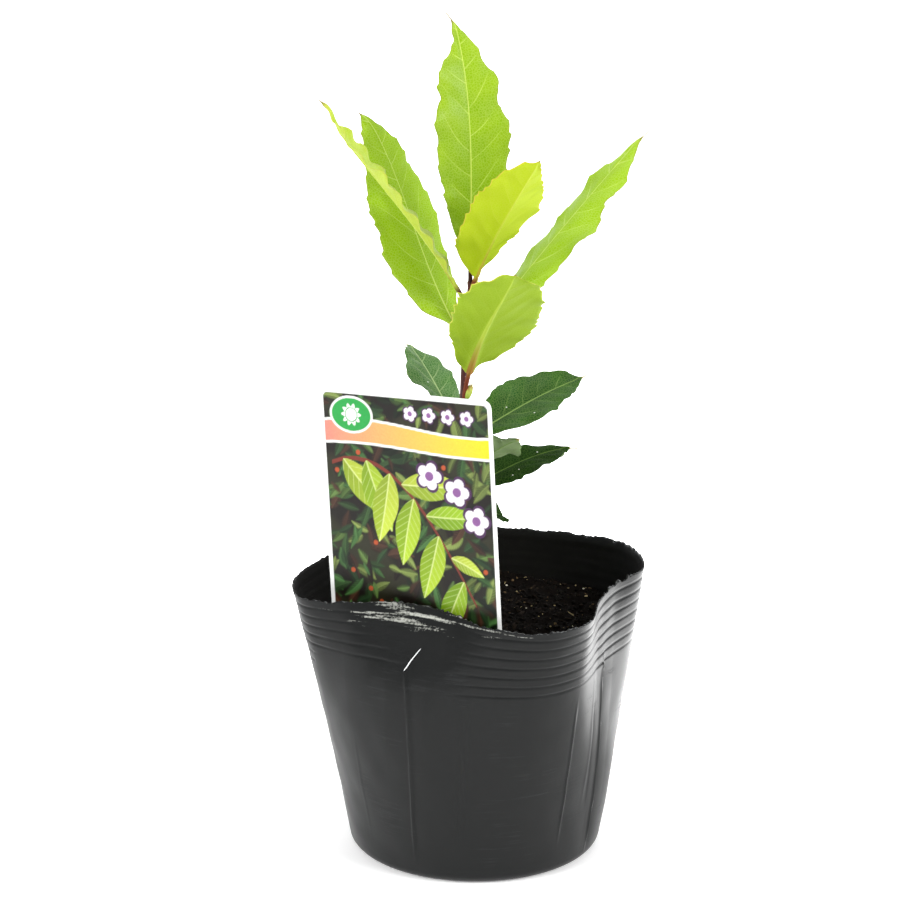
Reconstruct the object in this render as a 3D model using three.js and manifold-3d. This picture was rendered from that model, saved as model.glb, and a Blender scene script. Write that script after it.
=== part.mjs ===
// A bay laurel seedling in a soft nursery pot, with its plastic plant label.
// Millimetres, +Z up. The origin is the middle of the pot's flat underside, and -Y is the front.
// Bearings are in degrees: 0 is +X (right), 90 is +Y (back), -90 is the front.
import * as THREE from "three";
import { LoftGeometry } from "three/addons/geometries/LoftGeometry.js";
import { mergeVertices } from "three/addons/utils/BufferGeometryUtils.js";
import Module from "manifold-3d";

const wasm = await Module();
wasm.setup();

// ---------------------------------------------------------------- driving dimensions

const GAP = 0.3; // left between pieces that touch
const COLUMNS = 64; // facets round the pot and the soil

const POT = {
  height: 82,
  rimRadius: 52.5, // a 10.5 cm pot before it is squeezed
  baseRadius: 37.5,
  footRadius: 3, // rounding between wall and underside
  wall: 0.8,
  floor: 1.2,
  floorRise: 0.1, // the inside of the floor is this much higher in the middle
  rings: { count: 6, pitch: 3.4, first: 2.6, height: 0.5 },
  drain: { count: 8, radius: 3.5, fromMiddle: 21, sides: 12 },
};

// Where the soft rim stands now: bearing, distance from the pot's axis, lift and fade.
// Fade says how quickly the squeeze dies away below the rim, as a power of the height.
const RIM = [
  [-162, 54, 0, 2.4],
  [-148, 44.5, 0.9, 4],
  [-128, 34, 2.0, 5],
  [-104, 34, 1.5, 5],
  [-86, 44, 0.3, 4],
  [-66, 53, 0, 2.4],
  [-50, 50.5, 0, 2],
  [-30, 42, 0.6, 1.6],
  [-10, 42, 0.8, 1.8],
  [12, 52.5, 0.8, 2.4],
  [34, 56.5, 1.5, 2.4],
  [60, 54.5, 0.4, 2.4],
  [90, 54, 0, 2.4],
  [118, 53.5, 0, 2.4],
  [142, 51, 0.4, 2.4],
  [160, 51, 0.4, 2.4],
  [178, 54.5, 0, 2.4],
];

const SOIL = {
  level: 67.5, // at the wall
  mound: 1.5, // higher round the stem
  lump: 0.7,
  lumpSpacing: [19, 17], // from crest to crest, sideways and front to back
  rings: 7,
  clearance: 0.5, // to the wall, whose facets are split the other way
};

const STEM = {
  sides: 8,
  step: 4, // between the rings of facets
  swelling: 1.12, // where a leaf grows
  hole: { radius: 2.1, bottom: 38, sides: 12 }, // in the soil
  // height, sideways lean, backward lean, radius
  run: [
    [40, -2.5, 0, 1.6],
    [68, -2.6, 0, 1.55],
    [90, -3.4, 0, 1.45],
    [115, -3.2, 0.2, 1.35],
    [137, -3.6, 0, 1.1],
    [155, -2.8, 0.4, 0.95],
    [168, -1.6, 0.6, 0.85],
    [174, -1.6, 1.0, 0.75],
  ],
};

const LABEL = {
  width: 58,
  thickness: 0.7,
  cornerRadius: 2.4,
  top: 145.8,
  shoulder: 62, // below this height the card narrows to its point
  tip: 22,
  middle: [-17, -24.5], // where its centre line stands, level with the soil
  turn: 31, // its right side comes forward
  lean: -3.3, // its top leans left
  slotClearance: 0.35,
};

const COLOURS = {
  pot: 0x2b2d2e,
  soil: 0x2a221c,
  bark: 0x5a2a22,
  label: 0xf2f2ee,
  bud: 0xa8c040,
  young: 0x8fc31f,
  mature: 0x3c6b2a,
};

const STALK = {
  radius: 0.65,
  sides: 6,
  clearance: 0.4, // from the bark to the end of the cushion
  mostCushion: 0.8, // of the stalk's length
};

// A blade's thickness at its edge and rib, and how its solid is divided.
const BLADE = { edge: 0.6, rib: 1.1, rowsPerWave: 3, columns: [-1, -0.55, 0, 0.55, 1] };
const BELLY = 0.48; // where a blade is widest, as a share of its length
const BASE_POWER = 0.75; // below 1 the blade swells quickly from its stalk
const DRAWN_OUT = 8; // power that pinches a blade to its point: higher is blunter
const OTHER_EDGE_LATER = 2; // radians by which the waves of one edge trail the other's
const EDGE_RIPPLE = 0.05; // how far each wave takes the edge in and out, as a share of the width
const FLAT_FROM = 2; // width beyond the stalk's at which a blade has its full fold and waves

// Leaves, from the lowest up. height is where the stalk leaves the stem. rise is the angle above
// level at the stem, halfway and at the tip. bearing is the direction at the stem and at the tip.
// roll turns the blade about its own rib, with the right side going down for positive values.
// Some leaves differ in outline: point replaces DRAWN_OUT, belly replaces BELLY, and lopsided is
// how much wider than its mean width the right half is, as a share.
const LEAVES = [
  {
    name: "leaf_low_back_right", height: 101, bearing: [47, 47], rise: [10, -12, -45],
    stalk: 3, blade: 18, width: 10, roll: 25, fold: 12, wave: 0.6, waves: 3, colour: COLOURS.mature,
  },
  {
    name: "leaf_low_left", height: 105, bearing: [165, 172], rise: [35, 22, 5],
    stalk: 4, blade: 28, width: 13, roll: 0, fold: 14, wave: 0.8, waves: 3, colour: COLOURS.mature,
  },
  {
    name: "leaf_low_right", height: 110, bearing: [37, 36], rise: [14, 10, -11],
    stalk: 4, blade: 38, width: 15, roll: 10, fold: 6, wave: 0.9, waves: 4, colour: COLOURS.mature,
  },
  {
    name: "leaf_mid_front_left", height: 114, bearing: [-140, -150], rise: [40, 25, 5],
    stalk: 3, blade: 22, width: 12, roll: 0, fold: 14, wave: 0.8, waves: 3, colour: COLOURS.mature,
  },
  {
    name: "leaf_mid_front_right", height: 118, bearing: [-51, -52], rise: [20, 31, 22],
    stalk: 4, blade: 25, width: 12, roll: -28, fold: 10, wave: 0.7, waves: 3, colour: COLOURS.mature,
  },
  {
    name: "leaf_mid_right", height: 125, bearing: [34, 32], rise: [21, 18, 8],
    stalk: 4, blade: 42, width: 17.5, roll: 24, fold: 11, wave: 0.9, waves: 4, colour: COLOURS.mature,
  },
  {
    name: "leaf_mid_back_left", height: 127, bearing: [121, 115], rise: [31, 32, 8],
    stalk: 4, blade: 38, width: 14.5, roll: 12, fold: 11, wave: 0.9, waves: 4, colour: COLOURS.mature,
  },
  {
    name: "leaf_front", height: 137, bearing: [-68, -63], rise: [73, 48, 51],
    stalk: 9, blade: 48.8, width: 25.4, belly: 0.55, lopsided: 0.15, point: 26,
    roll: -20, fold: 13, wave: 0.8, waves: 5, colour: COLOURS.young,
  },
  {
    name: "leaf_long_right", height: 153, bearing: [18, 34], rise: [50, 45, 39],
    stalk: 5, blade: 77, width: 19, roll: 3, fold: -10, wave: 1.3, waves: 6, colour: COLOURS.young,
  },
  {
    name: "leaf_long_back_left", height: 155, bearing: [139, 144], rise: [45, 65, 49],
    stalk: 5, blade: 70.4, width: 22.1, lopsided: 0.13, point: 12,
    roll: -13, fold: -3, wave: 1.2, waves: 6, colour: COLOURS.young,
  },
  {
    name: "leaf_long_left", height: 164, bearing: [-171, -172], rise: [65, 52, 64],
    stalk: 5, blade: 72.3, width: 18, roll: 0, fold: 12, wave: 1.4, waves: 6, colour: COLOURS.young,
  },
  {
    name: "leaf_top_front_right", height: 170, bearing: [-47, -56], rise: [65, 53, 49],
    stalk: 5, blade: 48.7, width: 20.5, belly: 0.51, lopsided: -0.07, point: 18,
    roll: -14, fold: 14, wave: 0.8, waves: 5, colour: COLOURS.young,
  },
  {
    name: "leaf_top", height: 173, bearing: [108, 112], rise: [90, 84, 42], point: 5,
    stalk: 5, blade: 74.5, width: 21.5, roll: -8, fold: 9, wave: 1.4, waves: 6, colour: COLOURS.young,
  },
];

const BUDS = [
  { name: "bud_axil", height: 139, bearing: -40, rise: 70, length: 6, radius: 0.9 },
  { name: "bud_tip", height: 172, bearing: 20, rise: 70, length: 4, radius: 0.7 },
];
// A bud's plump outline: share of its length and share of its radius.
const BUD_PROFILE = [[0, 0.45], [0.25, 0.95], [0.5, 1], [0.75, 0.65], [1, 0.12]];
const BUD_SIDES = 8;

// ---------------------------------------------------------------- small helpers

const toRadians = THREE.MathUtils.degToRad;
const { lerp } = THREE.MathUtils;

// Unit vector at a bearing and a rise above level, both in degrees.
function heading(bearing, rise) {
  const level = Math.cos(toRadians(rise));
  return new THREE.Vector3(
    level * Math.cos(toRadians(bearing)),
    level * Math.sin(toRadians(bearing)),
    Math.sin(toRadians(rise)),
  );
}

// Smooth value through three given at the start, the middle and the end.
function throughThree([start, middle, end], u) {
  return start * (1 - u) * (1 - 2 * u) + 4 * middle * u * (1 - u) + end * u * (2 * u - 1);
}

function toManifold(geometry) {
  const bare = new THREE.BufferGeometry().copy(geometry);
  bare.deleteAttribute("normal");
  bare.deleteAttribute("uv");
  const merged = mergeVertices(bare, 1e-4);
  return new wasm.Manifold(
    new wasm.Mesh({
      numProp: 3,
      vertProperties: merged.attributes.position.array,
      triVerts: new Uint32Array(merged.index.array),
    }),
  );
}

function toGeometry(solid) {
  const mesh = solid.getMesh();
  const geometry = new THREE.BufferGeometry();
  geometry.setAttribute("position", new THREE.BufferAttribute(mesh.vertProperties, 3));
  geometry.setIndex(new THREE.BufferAttribute(mesh.triVerts, 1));
  geometry.computeVertexNormals();
  return geometry;
}

function piece(name, geometry, colour, roughness) {
  const material = new THREE.MeshStandardMaterial({ color: colour, roughness, metalness: 0 });
  const mesh = new THREE.Mesh(geometry, material);
  mesh.name = name;
  return mesh;
}

// An upright cylinder between two heights, for a hole.
function plug(middle, radius, bottom, top, sides) {
  const cylinder = new THREE.CylinderGeometry(radius, radius, top - bottom, sides);
  cylinder.rotateX(Math.PI / 2);
  cylinder.translate(middle.x, middle.y, (top + bottom) / 2);
  return toManifold(cylinder);
}

// A solid between two like grids of points, with both faces split into the same triangles.
// Rows run along the length. Seen from above, columns run across it from left to right.
function slab(upper, lower) {
  const rows = upper.length;
  const columns = upper[0].length;
  const index = (face, [row, column]) => (face * rows + row) * columns + column;
  const faces = [];
  for (let row = 0; row < rows - 1; row++) {
    for (let column = 0; column < columns - 1; column++) {
      const [a, b] = [[row, column], [row + 1, column]];
      const [c, d] = [[row + 1, column + 1], [row, column + 1]];
      faces.push(index(0, a), index(0, b), index(0, c), index(0, a), index(0, c), index(0, d));
      faces.push(index(1, a), index(1, c), index(1, b), index(1, a), index(1, d), index(1, c));
    }
  }
  const border = [];
  for (let row = 0; row < rows - 1; row++) border.push([row, 0]);
  for (let column = 0; column < columns - 1; column++) border.push([rows - 1, column]);
  for (let row = rows - 1; row > 0; row--) border.push([row, columns - 1]);
  for (let column = columns - 1; column > 0; column--) border.push([0, column]);
  border.forEach((here, i) => {
    const next = border[(i + 1) % border.length];
    faces.push(index(0, here), index(1, next), index(0, next));
    faces.push(index(0, here), index(1, here), index(1, next));
  });
  const geometry = new THREE.BufferGeometry().setFromPoints([...upper.flat(), ...lower.flat()]);
  geometry.setIndex(faces);
  geometry.computeVertexNormals();
  return geometry;
}

// ---------------------------------------------------------------- pot

// The squeezed rim as evenly spaced points, and the round rim that it had, point for point.
const rimCurve = new THREE.CatmullRomCurve3(
  RIM.map(([bearing, radius, lift]) => heading(bearing, 0).multiplyScalar(radius).setZ(lift)),
  true,
  "centripetal",
);
const rimPoints = rimCurve.getSpacedPoints(COLUMNS).slice(0, COLUMNS);
const roundPoints = rimPoints.map((_, i) => heading(RIM[0][0] + (360 * i) / COLUMNS, 0));

const fades = rimPoints.map((_, i) => {
  const place = rimCurve.getUtoTmapping(i / COLUMNS) * RIM.length;
  const before = Math.floor(place) % RIM.length;
  return lerp(RIM[before][3], RIM[(before + 1) % RIM.length][3], place % 1);
});

// Outer surface of the wall in one column, at a height from 0 to POT.height, moved in by inset.
function wallPoint(column, height, inset) {
  const t = height / POT.height;
  const round = roundPoints[column];
  const cone = lerp(POT.baseRadius, POT.rimRadius, t) - inset;
  const foot = Math.max(0, POT.footRadius - height);
  const rounding = POT.footRadius - Math.sqrt(POT.footRadius ** 2 - foot ** 2);
  const squeezed = rimPoints[column].clone().addScaledVector(round, -POT.rimRadius);
  return round
    .clone()
    .multiplyScalar(cone - rounding)
    .addScaledVector(squeezed, t ** fades[column])
    .add(new THREE.Vector3(0, 0, height));
}

function potRing(height, inset) {
  return rimPoints.map((_, column) => wallPoint(column, height, inset));
}

// Heights from one to another in even steps, both included.
function evenly(from, to, steps) {
  return Array.from({ length: steps + 1 }, (_, i) => lerp(from, to, i / steps));
}

function outsideHeights() {
  const { count, pitch, first } = POT.rings;
  const lowestRing = POT.height - first - (count - 1) * pitch;
  const foot = evenly(0, POT.footRadius, 3);
  const plain = evenly(POT.footRadius, lowestRing - pitch / 2, 4).slice(1);
  const ringed = evenly(lowestRing - pitch / 2, POT.height - first + pitch / 2, 2 * count).slice(1);
  return [...foot, ...plain, ...ringed, POT.height];
}

// How far the moulded rings stand out at a height.
function ringRelief(height) {
  const { count, pitch, first, height: relief } = POT.rings;
  const below = POT.height - height - first;
  if (below < -pitch / 2 || below > (count - 0.5) * pitch) return 0;
  return (relief / 2) * (1 + Math.cos((2 * Math.PI * below) / pitch));
}

// Facet rows inside the wall, from the rim down. The soil's sides share the lower ones.
const aboveSoil = evenly(POT.height, SOIL.level, 3).slice(0, -1);
const besideSoil = evenly(SOIL.level, POT.floor, 7);

function pot() {
  const outside = outsideHeights().map((height) => potRing(height, -ringRelief(height)));
  const inside = [...aboveSoil, ...besideSoil].map((height) => potRing(height, POT.wall));
  const middleRadius = (POT.drain.fromMiddle - POT.drain.radius) / 2;
  const floorMiddle = roundPoints.map((p) =>
    p.clone().multiplyScalar(middleRadius).setZ(POT.floor + POT.floorRise),
  );
  const shell = toManifold(
    new LoftGeometry([...outside, ...inside, floorMiddle], { capStart: true, capEnd: true }),
  );
  const { count, radius, fromMiddle, sides } = POT.drain;
  const holes = Array.from({ length: count }, (_, i) =>
    plug(heading((360 * i) / count, 0).multiplyScalar(fromMiddle), radius, -1, POT.floor + 1, sides),
  );
  const solid = holes.reduce((rest, hole) => rest.subtract(hole), shell);
  return piece("pot", toGeometry(solid), COLOURS.pot, 0.45);
}

// ---------------------------------------------------------------- stem

const stemCurve = new THREE.CatmullRomCurve3(
  STEM.run.map(([height, x, y]) => new THREE.Vector3(x, y, height)),
);

// Middle of the stem and its radius at a height.
function stemAt(height) {
  const rows = STEM.run;
  const next = Math.max(1, rows.findIndex((row) => row[0] >= height));
  const [low, high] = [rows[next - 1], rows[next]];
  const t = (height - low[0]) / (high[0] - low[0]);
  const along = (next - 1 + t) / (rows.length - 1);
  return { middle: stemCurve.getPoint(along), radius: lerp(low[3], high[3], t) };
}

// A ring of points round a middle, square to a direction.
function ringAcross(middle, direction, radius, sides) {
  const turn = new THREE.Quaternion().setFromUnitVectors(new THREE.Vector3(0, 0, 1), direction);
  return Array.from({ length: sides }, (_, i) =>
    heading((360 * i) / sides, 0).multiplyScalar(radius).applyQuaternion(turn).add(middle),
  );
}

function rod(stations, sides) {
  const sections = stations.map(({ point, direction, radius }) =>
    ringAcross(point, direction, radius, sides),
  );
  return new LoftGeometry(sections, { capStart: true, capEnd: true });
}

// ---------------------------------------------------------------- leaves

const TRACK_STEPS = 80; // along a leaf, to add up its direction

// Points and frames down the rib of a leaf, from the middle of the stem to the tip.
function ribOf(leaf, distances) {
  const whole = leaf.stalk + leaf.blade;
  const position = stemAt(leaf.height).middle;
  const directionAt = (distance) => {
    const u = distance / whole;
    return { bearing: lerp(leaf.bearing[0], leaf.bearing[1], u), rise: throughThree(leaf.rise, u) };
  };
  const track = [position.clone()];
  for (let i = 0; i < TRACK_STEPS; i++) {
    const { bearing, rise } = directionAt(((i + 0.5) / TRACK_STEPS) * whole);
    position.addScaledVector(heading(bearing, rise), whole / TRACK_STEPS);
    track.push(position.clone());
  }
  return distances.map((distance) => {
    const at = Math.min(TRACK_STEPS - 1e-6, (distance / whole) * TRACK_STEPS);
    const point = track[Math.floor(at)].clone().lerp(track[Math.floor(at) + 1], at % 1);
    const { bearing, rise } = directionAt(distance);
    const along = heading(bearing, rise);
    const face = heading(bearing, rise + 90).applyAxisAngle(along, toRadians(leaf.roll));
    const side = new THREE.Vector3().crossVectors(face, along);
    return { point, direction: along, face, side, radius: STALK.radius };
  });
}

// Where a stalk is clear of the stem: its cushion ends there and the leaf begins.
function cushionLength(leaf) {
  const rise = toRadians(leaf.rise[0]);
  const outward = stemAt(leaf.height).radius + STALK.radius * Math.sin(rise) + STALK.clearance;
  return Math.min(leaf.stalk * STALK.mostCushion, outward / Math.cos(rise));
}

// Half the width of a blade, as a share of its greatest half width, from its base to its tip.
function bladeOutline(u, { belly = BELLY, point = DRAWN_OUT }) {
  const tipPower = (BASE_POWER * (1 - belly)) / belly;
  return (u / belly) ** BASE_POWER * ((1 - u) / (1 - belly)) ** tipPower * (1 - u ** point);
}

function leafPiece(leaf) {
  const start = cushionLength(leaf) + GAP;
  const rows = BLADE.rowsPerWave * leaf.waves;
  const blade = evenly(leaf.stalk, leaf.stalk + leaf.blade, rows);
  const distances = [start, (start + leaf.stalk) / 2, ...blade];
  const upper = [];
  const lower = [];
  ribOf(leaf, distances).forEach(({ point, face, side }, row) => {
    const u = Math.max(0, (distances[row] - leaf.stalk) / leaf.blade);
    const half = Math.max(STALK.radius, (leaf.width / 2) * bladeOutline(u, leaf));
    const flatness = Math.min(1, (half - STALK.radius) / FLAT_FROM);
    const slope = toRadians(leaf.fold) * flatness;
    const middles = BLADE.columns.map((v) => {
      const phase = 2 * Math.PI * leaf.waves * u + (v < 0 ? OTHER_EDGE_LATER : 0);
      const wave = leaf.wave * Math.sin(phase) * v * v * flatness;
      const ripple = EDGE_RIPPLE * Math.cos(phase) * v * v;
      const lopsided = (leaf.lopsided ?? 0) * Math.sign(v);
      const reach = half * (1 + (ripple + lopsided) * flatness);
      return point
        .clone()
        .addScaledVector(side, v * reach * Math.cos(slope))
        .addScaledVector(face, Math.abs(v) * reach * Math.sin(slope) + wave);
    });
    const halfThick = BLADE.columns.map((v) => {
      const stalkThick = STALK.radius * Math.sqrt(1 - 0.7 * v * v);
      const bladeThick = (v === 0 ? BLADE.rib : BLADE.edge) / 2;
      return lerp(stalkThick, bladeThick, flatness);
    });
    upper.push(middles.map((p, i) => p.clone().addScaledVector(face, halfThick[i])));
    lower.push(middles.map((p, i) => p.clone().addScaledVector(face, -halfThick[i])));
  });
  return piece(leaf.name, slab(upper, lower), leaf.colour, 0.45);
}

// The stub of stalk that belongs to the stem.
function leafCushion(leaf) {
  const end = cushionLength(leaf);
  return toManifold(rod(ribOf(leaf, [0, end / 2, end]), STALK.sides));
}

function stem() {
  const [foot, top] = [STEM.run[0][0], STEM.run.at(-1)[0]];
  const heights = [];
  for (let height = foot; height < top; height += STEM.step) heights.push(height);
  heights.push(top);
  const stations = heights.map((height) => {
    const { middle, radius } = stemAt(height);
    const nearest = Math.min(...LEAVES.map((leaf) => Math.abs(leaf.height - height)));
    const swelling = nearest < STEM.step / 2 ? STEM.swelling : 1;
    return { point: middle, direction: new THREE.Vector3(0, 0, 1), radius: radius * swelling };
  });
  const trunk = toManifold(rod(stations, STEM.sides));
  const solid = LEAVES.reduce((whole, leaf) => whole.add(leafCushion(leaf)), trunk);
  return piece("stem", toGeometry(solid), COLOURS.bark, 0.7);
}

// ---------------------------------------------------------------- buds

function budPiece({ name, height, bearing, rise, length, radius }) {
  const { middle, radius: stemRadius } = stemAt(height);
  const direction = heading(bearing, rise);
  const outward = heading(bearing, 0).multiplyScalar(stemRadius + radius + GAP);
  const stations = BUD_PROFILE.map(([u, share]) => ({
    point: middle.clone().add(outward).addScaledVector(direction, u * length),
    direction,
    radius: radius * share,
  }));
  return piece(name, rod(stations, BUD_SIDES), COLOURS.bud, 0.5);
}

// ---------------------------------------------------------------- plant label

function labelOutline(grow) {
  const half = LABEL.width / 2 + grow;
  const corner = LABEL.cornerRadius;
  const shape = new THREE.Shape();
  shape.moveTo(0, LABEL.tip - grow);
  shape.lineTo(half, LABEL.shoulder);
  shape.lineTo(half, LABEL.top - corner);
  shape.absarc(half - corner, LABEL.top - corner, corner, 0, Math.PI / 2, false);
  shape.absarc(corner - half, LABEL.top - corner, corner, Math.PI / 2, Math.PI, false);
  shape.lineTo(-half, LABEL.shoulder);
  return shape;
}

// The card, or with some clearance the slot that it stands in.
function labelSolid(clearance) {
  const depth = LABEL.thickness + 2 * clearance;
  const card = new THREE.ExtrudeGeometry(labelOutline(clearance), {
    depth,
    bevelEnabled: false,
    curveSegments: 4,
  });
  card.translate(0, -SOIL.level, -depth / 2);
  card.rotateZ(toRadians(-LABEL.lean));
  card.rotateX(Math.PI / 2);
  card.rotateZ(toRadians(-LABEL.turn));
  card.translate(LABEL.middle[0], LABEL.middle[1], SOIL.level);
  return card;
}

// ---------------------------------------------------------------- soil

// Height of the top of the soil. share is 1 at the wall and 0 in the middle.
function soilHeight(x, y, share) {
  const [across, deep] = SOIL.lumpSpacing.map((spacing) => (2 * Math.PI) / spacing);
  const lump = SOIL.lump * Math.sin(x * across + 1) * Math.sin(y * deep + x / SOIL.lumpSpacing[0]);
  return SOIL.level + SOIL.mound * (1 - share * share) + lump * (1 - share);
}

function soil() {
  const inset = POT.wall + SOIL.clearance;
  const sections = besideSoil.map((height) => potRing(height, inset)).reverse();
  sections[0].forEach((p) => p.setZ(POT.floor + GAP));
  const border = sections.at(-1);
  for (let ring = 1; ring < SOIL.rings; ring++) {
    const share = 1 - ring / SOIL.rings;
    const level = ({ x, y }) => soilHeight(x * share, y * share, share);
    sections.push(border.map((p) => new THREE.Vector3(p.x * share, p.y * share, level(p))));
  }
  const crown = Math.max(...sections.at(-1).map((p) => p.z)) + GAP;
  sections.push(sections.at(-1).map((p) => new THREE.Vector3(p.x / 2, p.y / 2, crown)));
  const bulk = toManifold(new LoftGeometry(sections, { capStart: true, capEnd: true }));
  const { radius, bottom, sides } = STEM.hole;
  const hole = plug(stemAt(SOIL.level).middle, radius, bottom, POT.height, sides);
  const slot = toManifold(labelSolid(LABEL.slotClearance));
  return piece("soil", toGeometry(bulk.subtract(hole).subtract(slot)), COLOURS.soil, 0.95);
}

// ---------------------------------------------------------------- the whole

const laurel = new THREE.Group();
laurel.name = "bay_laurel_in_pot";
laurel.add(pot(), soil(), stem());
laurel.add(piece("plant_label", labelSolid(0), COLOURS.label, 0.35));
LEAVES.forEach((leaf) => laurel.add(leafPiece(leaf)));
BUDS.forEach((bud) => laurel.add(budPiece(bud)));

export default laurel;
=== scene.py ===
"""A bay laurel seedling in a soft black nursery pot, with its plastic plant label.

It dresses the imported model: every piece is made in the model's own frame, where -Y is the front.
Shapes are worked out in millimetres and turned to metres as their mesh is made. Bearings are in
degrees from +X (right) towards +Y (back).
"""
import math
from typing import NamedTuple

import bmesh
import bpy
import numpy as np
from bpy.props import FloatProperty, FloatVectorProperty, IntProperty, PointerProperty
from mathutils import Matrix, Vector


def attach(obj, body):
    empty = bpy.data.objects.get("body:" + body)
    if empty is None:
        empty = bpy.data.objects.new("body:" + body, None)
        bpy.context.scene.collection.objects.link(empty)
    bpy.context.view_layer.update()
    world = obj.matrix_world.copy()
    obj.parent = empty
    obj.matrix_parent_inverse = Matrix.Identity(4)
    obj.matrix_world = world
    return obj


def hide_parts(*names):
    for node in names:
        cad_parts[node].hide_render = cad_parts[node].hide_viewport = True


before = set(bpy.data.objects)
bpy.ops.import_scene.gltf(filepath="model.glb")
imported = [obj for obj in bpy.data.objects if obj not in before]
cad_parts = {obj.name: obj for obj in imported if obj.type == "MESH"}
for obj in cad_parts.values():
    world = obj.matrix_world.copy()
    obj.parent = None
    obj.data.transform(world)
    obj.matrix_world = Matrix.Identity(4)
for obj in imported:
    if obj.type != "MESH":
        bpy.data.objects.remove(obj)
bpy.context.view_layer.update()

bl_info = {
    "name": "Potted Bay Laurel",
    "version": (1, 0, 0),
    "blender": (4, 5, 0),
    "location": "3D View > Sidebar > Laurel",
    "description": "Builds a young bay laurel in a squeezed nursery pot, with its plant label",
    "category": "Add Mesh",
}

BODY = "root"
MM = 0.001
TURN = 2 * math.pi


# ---------------------------------------------------------------- the plant's and the pot's form

# Where the soft rim stands now: bearing, distance from the pot's axis, lift and fade.
# Fade says how quickly the squeeze dies away below the rim, as a power of the height.
RIM = np.array([
    (-162, 54, 0, 2.4), (-148, 44.5, 0.9, 4), (-128, 34, 2.0, 5), (-104, 34, 1.5, 5),
    (-86, 44, 0.3, 3.2), (-66, 53, 0, 2.4), (-50, 50.5, 0, 2), (-30, 42, 0.6, 1.6),
    (-10, 42, 0.8, 1.8), (12, 52.5, 0.8, 2.4), (34, 56.5, 1.5, 2.4), (60, 54.5, 0.4, 2.4),
    (90, 54, 0, 2.4), (118, 53.5, 0, 2.4), (142, 51, 0.4, 2.4), (160, 51, 0.4, 2.4),
    (178, 54.5, 0, 2.4),
])
FOOT_RADIUS = 3  # rounding between the pot's wall and its underside
GROOVES = {"count": 7, "pitch": 2.95, "first": 0.9, "depth": 0.34}  # they run round below the rim
DRAIN = {"count": 8, "radius": 3.5, "from_middle": 21}

# Lines moulded or creased into the wall: a list of (bearing, height), how far the wall steps in on
# the right of the line, how far that step reaches, and the height and width of the ridge on it.
CREASES = [
    ([(-119, 66), (-117.5, 61), (-116, 52), (-115.5, 40), (-116, 27), (-117, 10)],
     0.42, 5, 0.36, 0.45),
    ([(-95, 57), (-95, 42), (-96, 20)], 0.14, 3, 0.24, 0.5),
    ([(-97.4, 55), (-97.5, 38), (-98.5, 16)], 0.05, 3, 0.1, 0.5),
    ([(-53, 53), (-52.5, 43), (-52, 33), (-52, 14)], 0.3, 4, 0.35, 0.4),
    ([(-28, 61), (-30, 55), (-30, 47), (-29.5, 29), (-30, 14), (-31, 6)], 1.7, 5, 0.5, 0.7),
    ([(-37, 54), (-36, 46), (-36, 20)], -0.3, 8, 0.05, 2),
    ([(-142.5, 40), (-142.5, 28), (-141.5, 13)], 0.04, 4, 0.04, 0.6),
    ([(-38, 60), (-37, 40), (-39, 22)], 0.1, 6, 0.1, 0.8),
    ([(70, 58), (72, 14)], 0.25, 5, 0.25, 0.7),
    ([(128, 57), (127, 15)], 0.2, 5, 0.25, 0.7),
    ([(165, 60), (168, 14)], 0.3, 6, 0.2, 0.8),
    ([(15, 61), (16, 12)], 0.2, 5, 0.2, 0.7),
]
UNSHADED_LIP = (25, 38, 2.6)  # bearing, reach in degrees and how far down the inside is left without painted shade
STRESS_MARK = [(-115, 72.6), (-117.2, 69.6), (-119.2, 66.4)]  # where a crease has whitened
TEAR = (-17, 13, 7)  # bearing of the torn stretch of rim, how far it reaches, and between its steps
# Where whitish streaks are painted below the rim and on the lip: partly rubbed wear, partly painted
# highlight.
RUBBED_AND_GLINTING = (-124.5, 79.3, 21, 2.2)  # bearing, height, half width in degrees and half height
FLECKED_LIP_GLINTS = (-115, 36, 0.58)  # bearing, reach in degrees and share of the rubbing and painted highlight on the lip
# Where the squeeze has flattened the grooves: bearing, reach in degrees and share.
PRESSED = [(-110, 24, 0.98), (-8, 32, 0.45)]
FLARED = (-138, 28, 2)  # where fewer grooves show: bearing, reach in degrees and how many fewer

# Height, sideways lean, backward lean and radius of the stem.
STEM_RUN = np.array([
    (40, -2.5, 0, 1.6), (68, -2.6, 0, 1.55), (90, -3.4, 0, 1.45), (115, -3.2, 0.2, 1.35),
    (137, -3.6, 0, 1.1), (155, -2.8, 0.4, 0.95), (168, -1.6, 0.6, 0.85), (174, -1.6, 1.0, 0.75),
])
STALK_RADIUS = 0.65
BASE_POWER = 0.75  # below 1 a blade swells quickly from its stalk
OTHER_EDGE_LATER = 2  # radians by which the waves of one edge trail the other's
FLAT_FROM = 2  # width beyond the stalk's at which a blade has its full fold and waves
EVEN = (100,) * 20


class Leaf(NamedTuple):
    """A leaf. Height is where it grows on the stem, and bearing its heading there and at the tip.
    Rise is the angle above level at the stem, halfway and at the tip. Stalk, blade and width are
    lengths. Roll turns the blade about its own rib, fold is how steeply its halves rise from the
    rib, wave how high its edge waves, and waves how often. Kind names its finish. Teeth is the
    spacing and the depth of the teeth on its edge. Belly is where it is widest and point how blunt
    its tip is. Left and right are how far each edge is from the rib, in % of an even outline, in
    20 steps from the stalk to the tip, as seen from above with the tip ahead. Hook is how far the
    tip itself bends to the left, thread how long a dried thread it ends in, twist how much further
    the blade has turned at the tip, and curl how far the rib swings up just before it."""

    name: str
    height: float
    bearing: tuple
    rise: tuple
    stalk: float
    blade: float
    width: float
    roll: float
    fold: float
    wave: float
    waves: int
    kind: str
    teeth: tuple
    belly: float = 0.48
    point: float = 8
    left: tuple = EVEN
    right: tuple = EVEN
    hook: float = 0.8
    thread: float = 0
    twist: float = 0
    curl: float = 0


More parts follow.
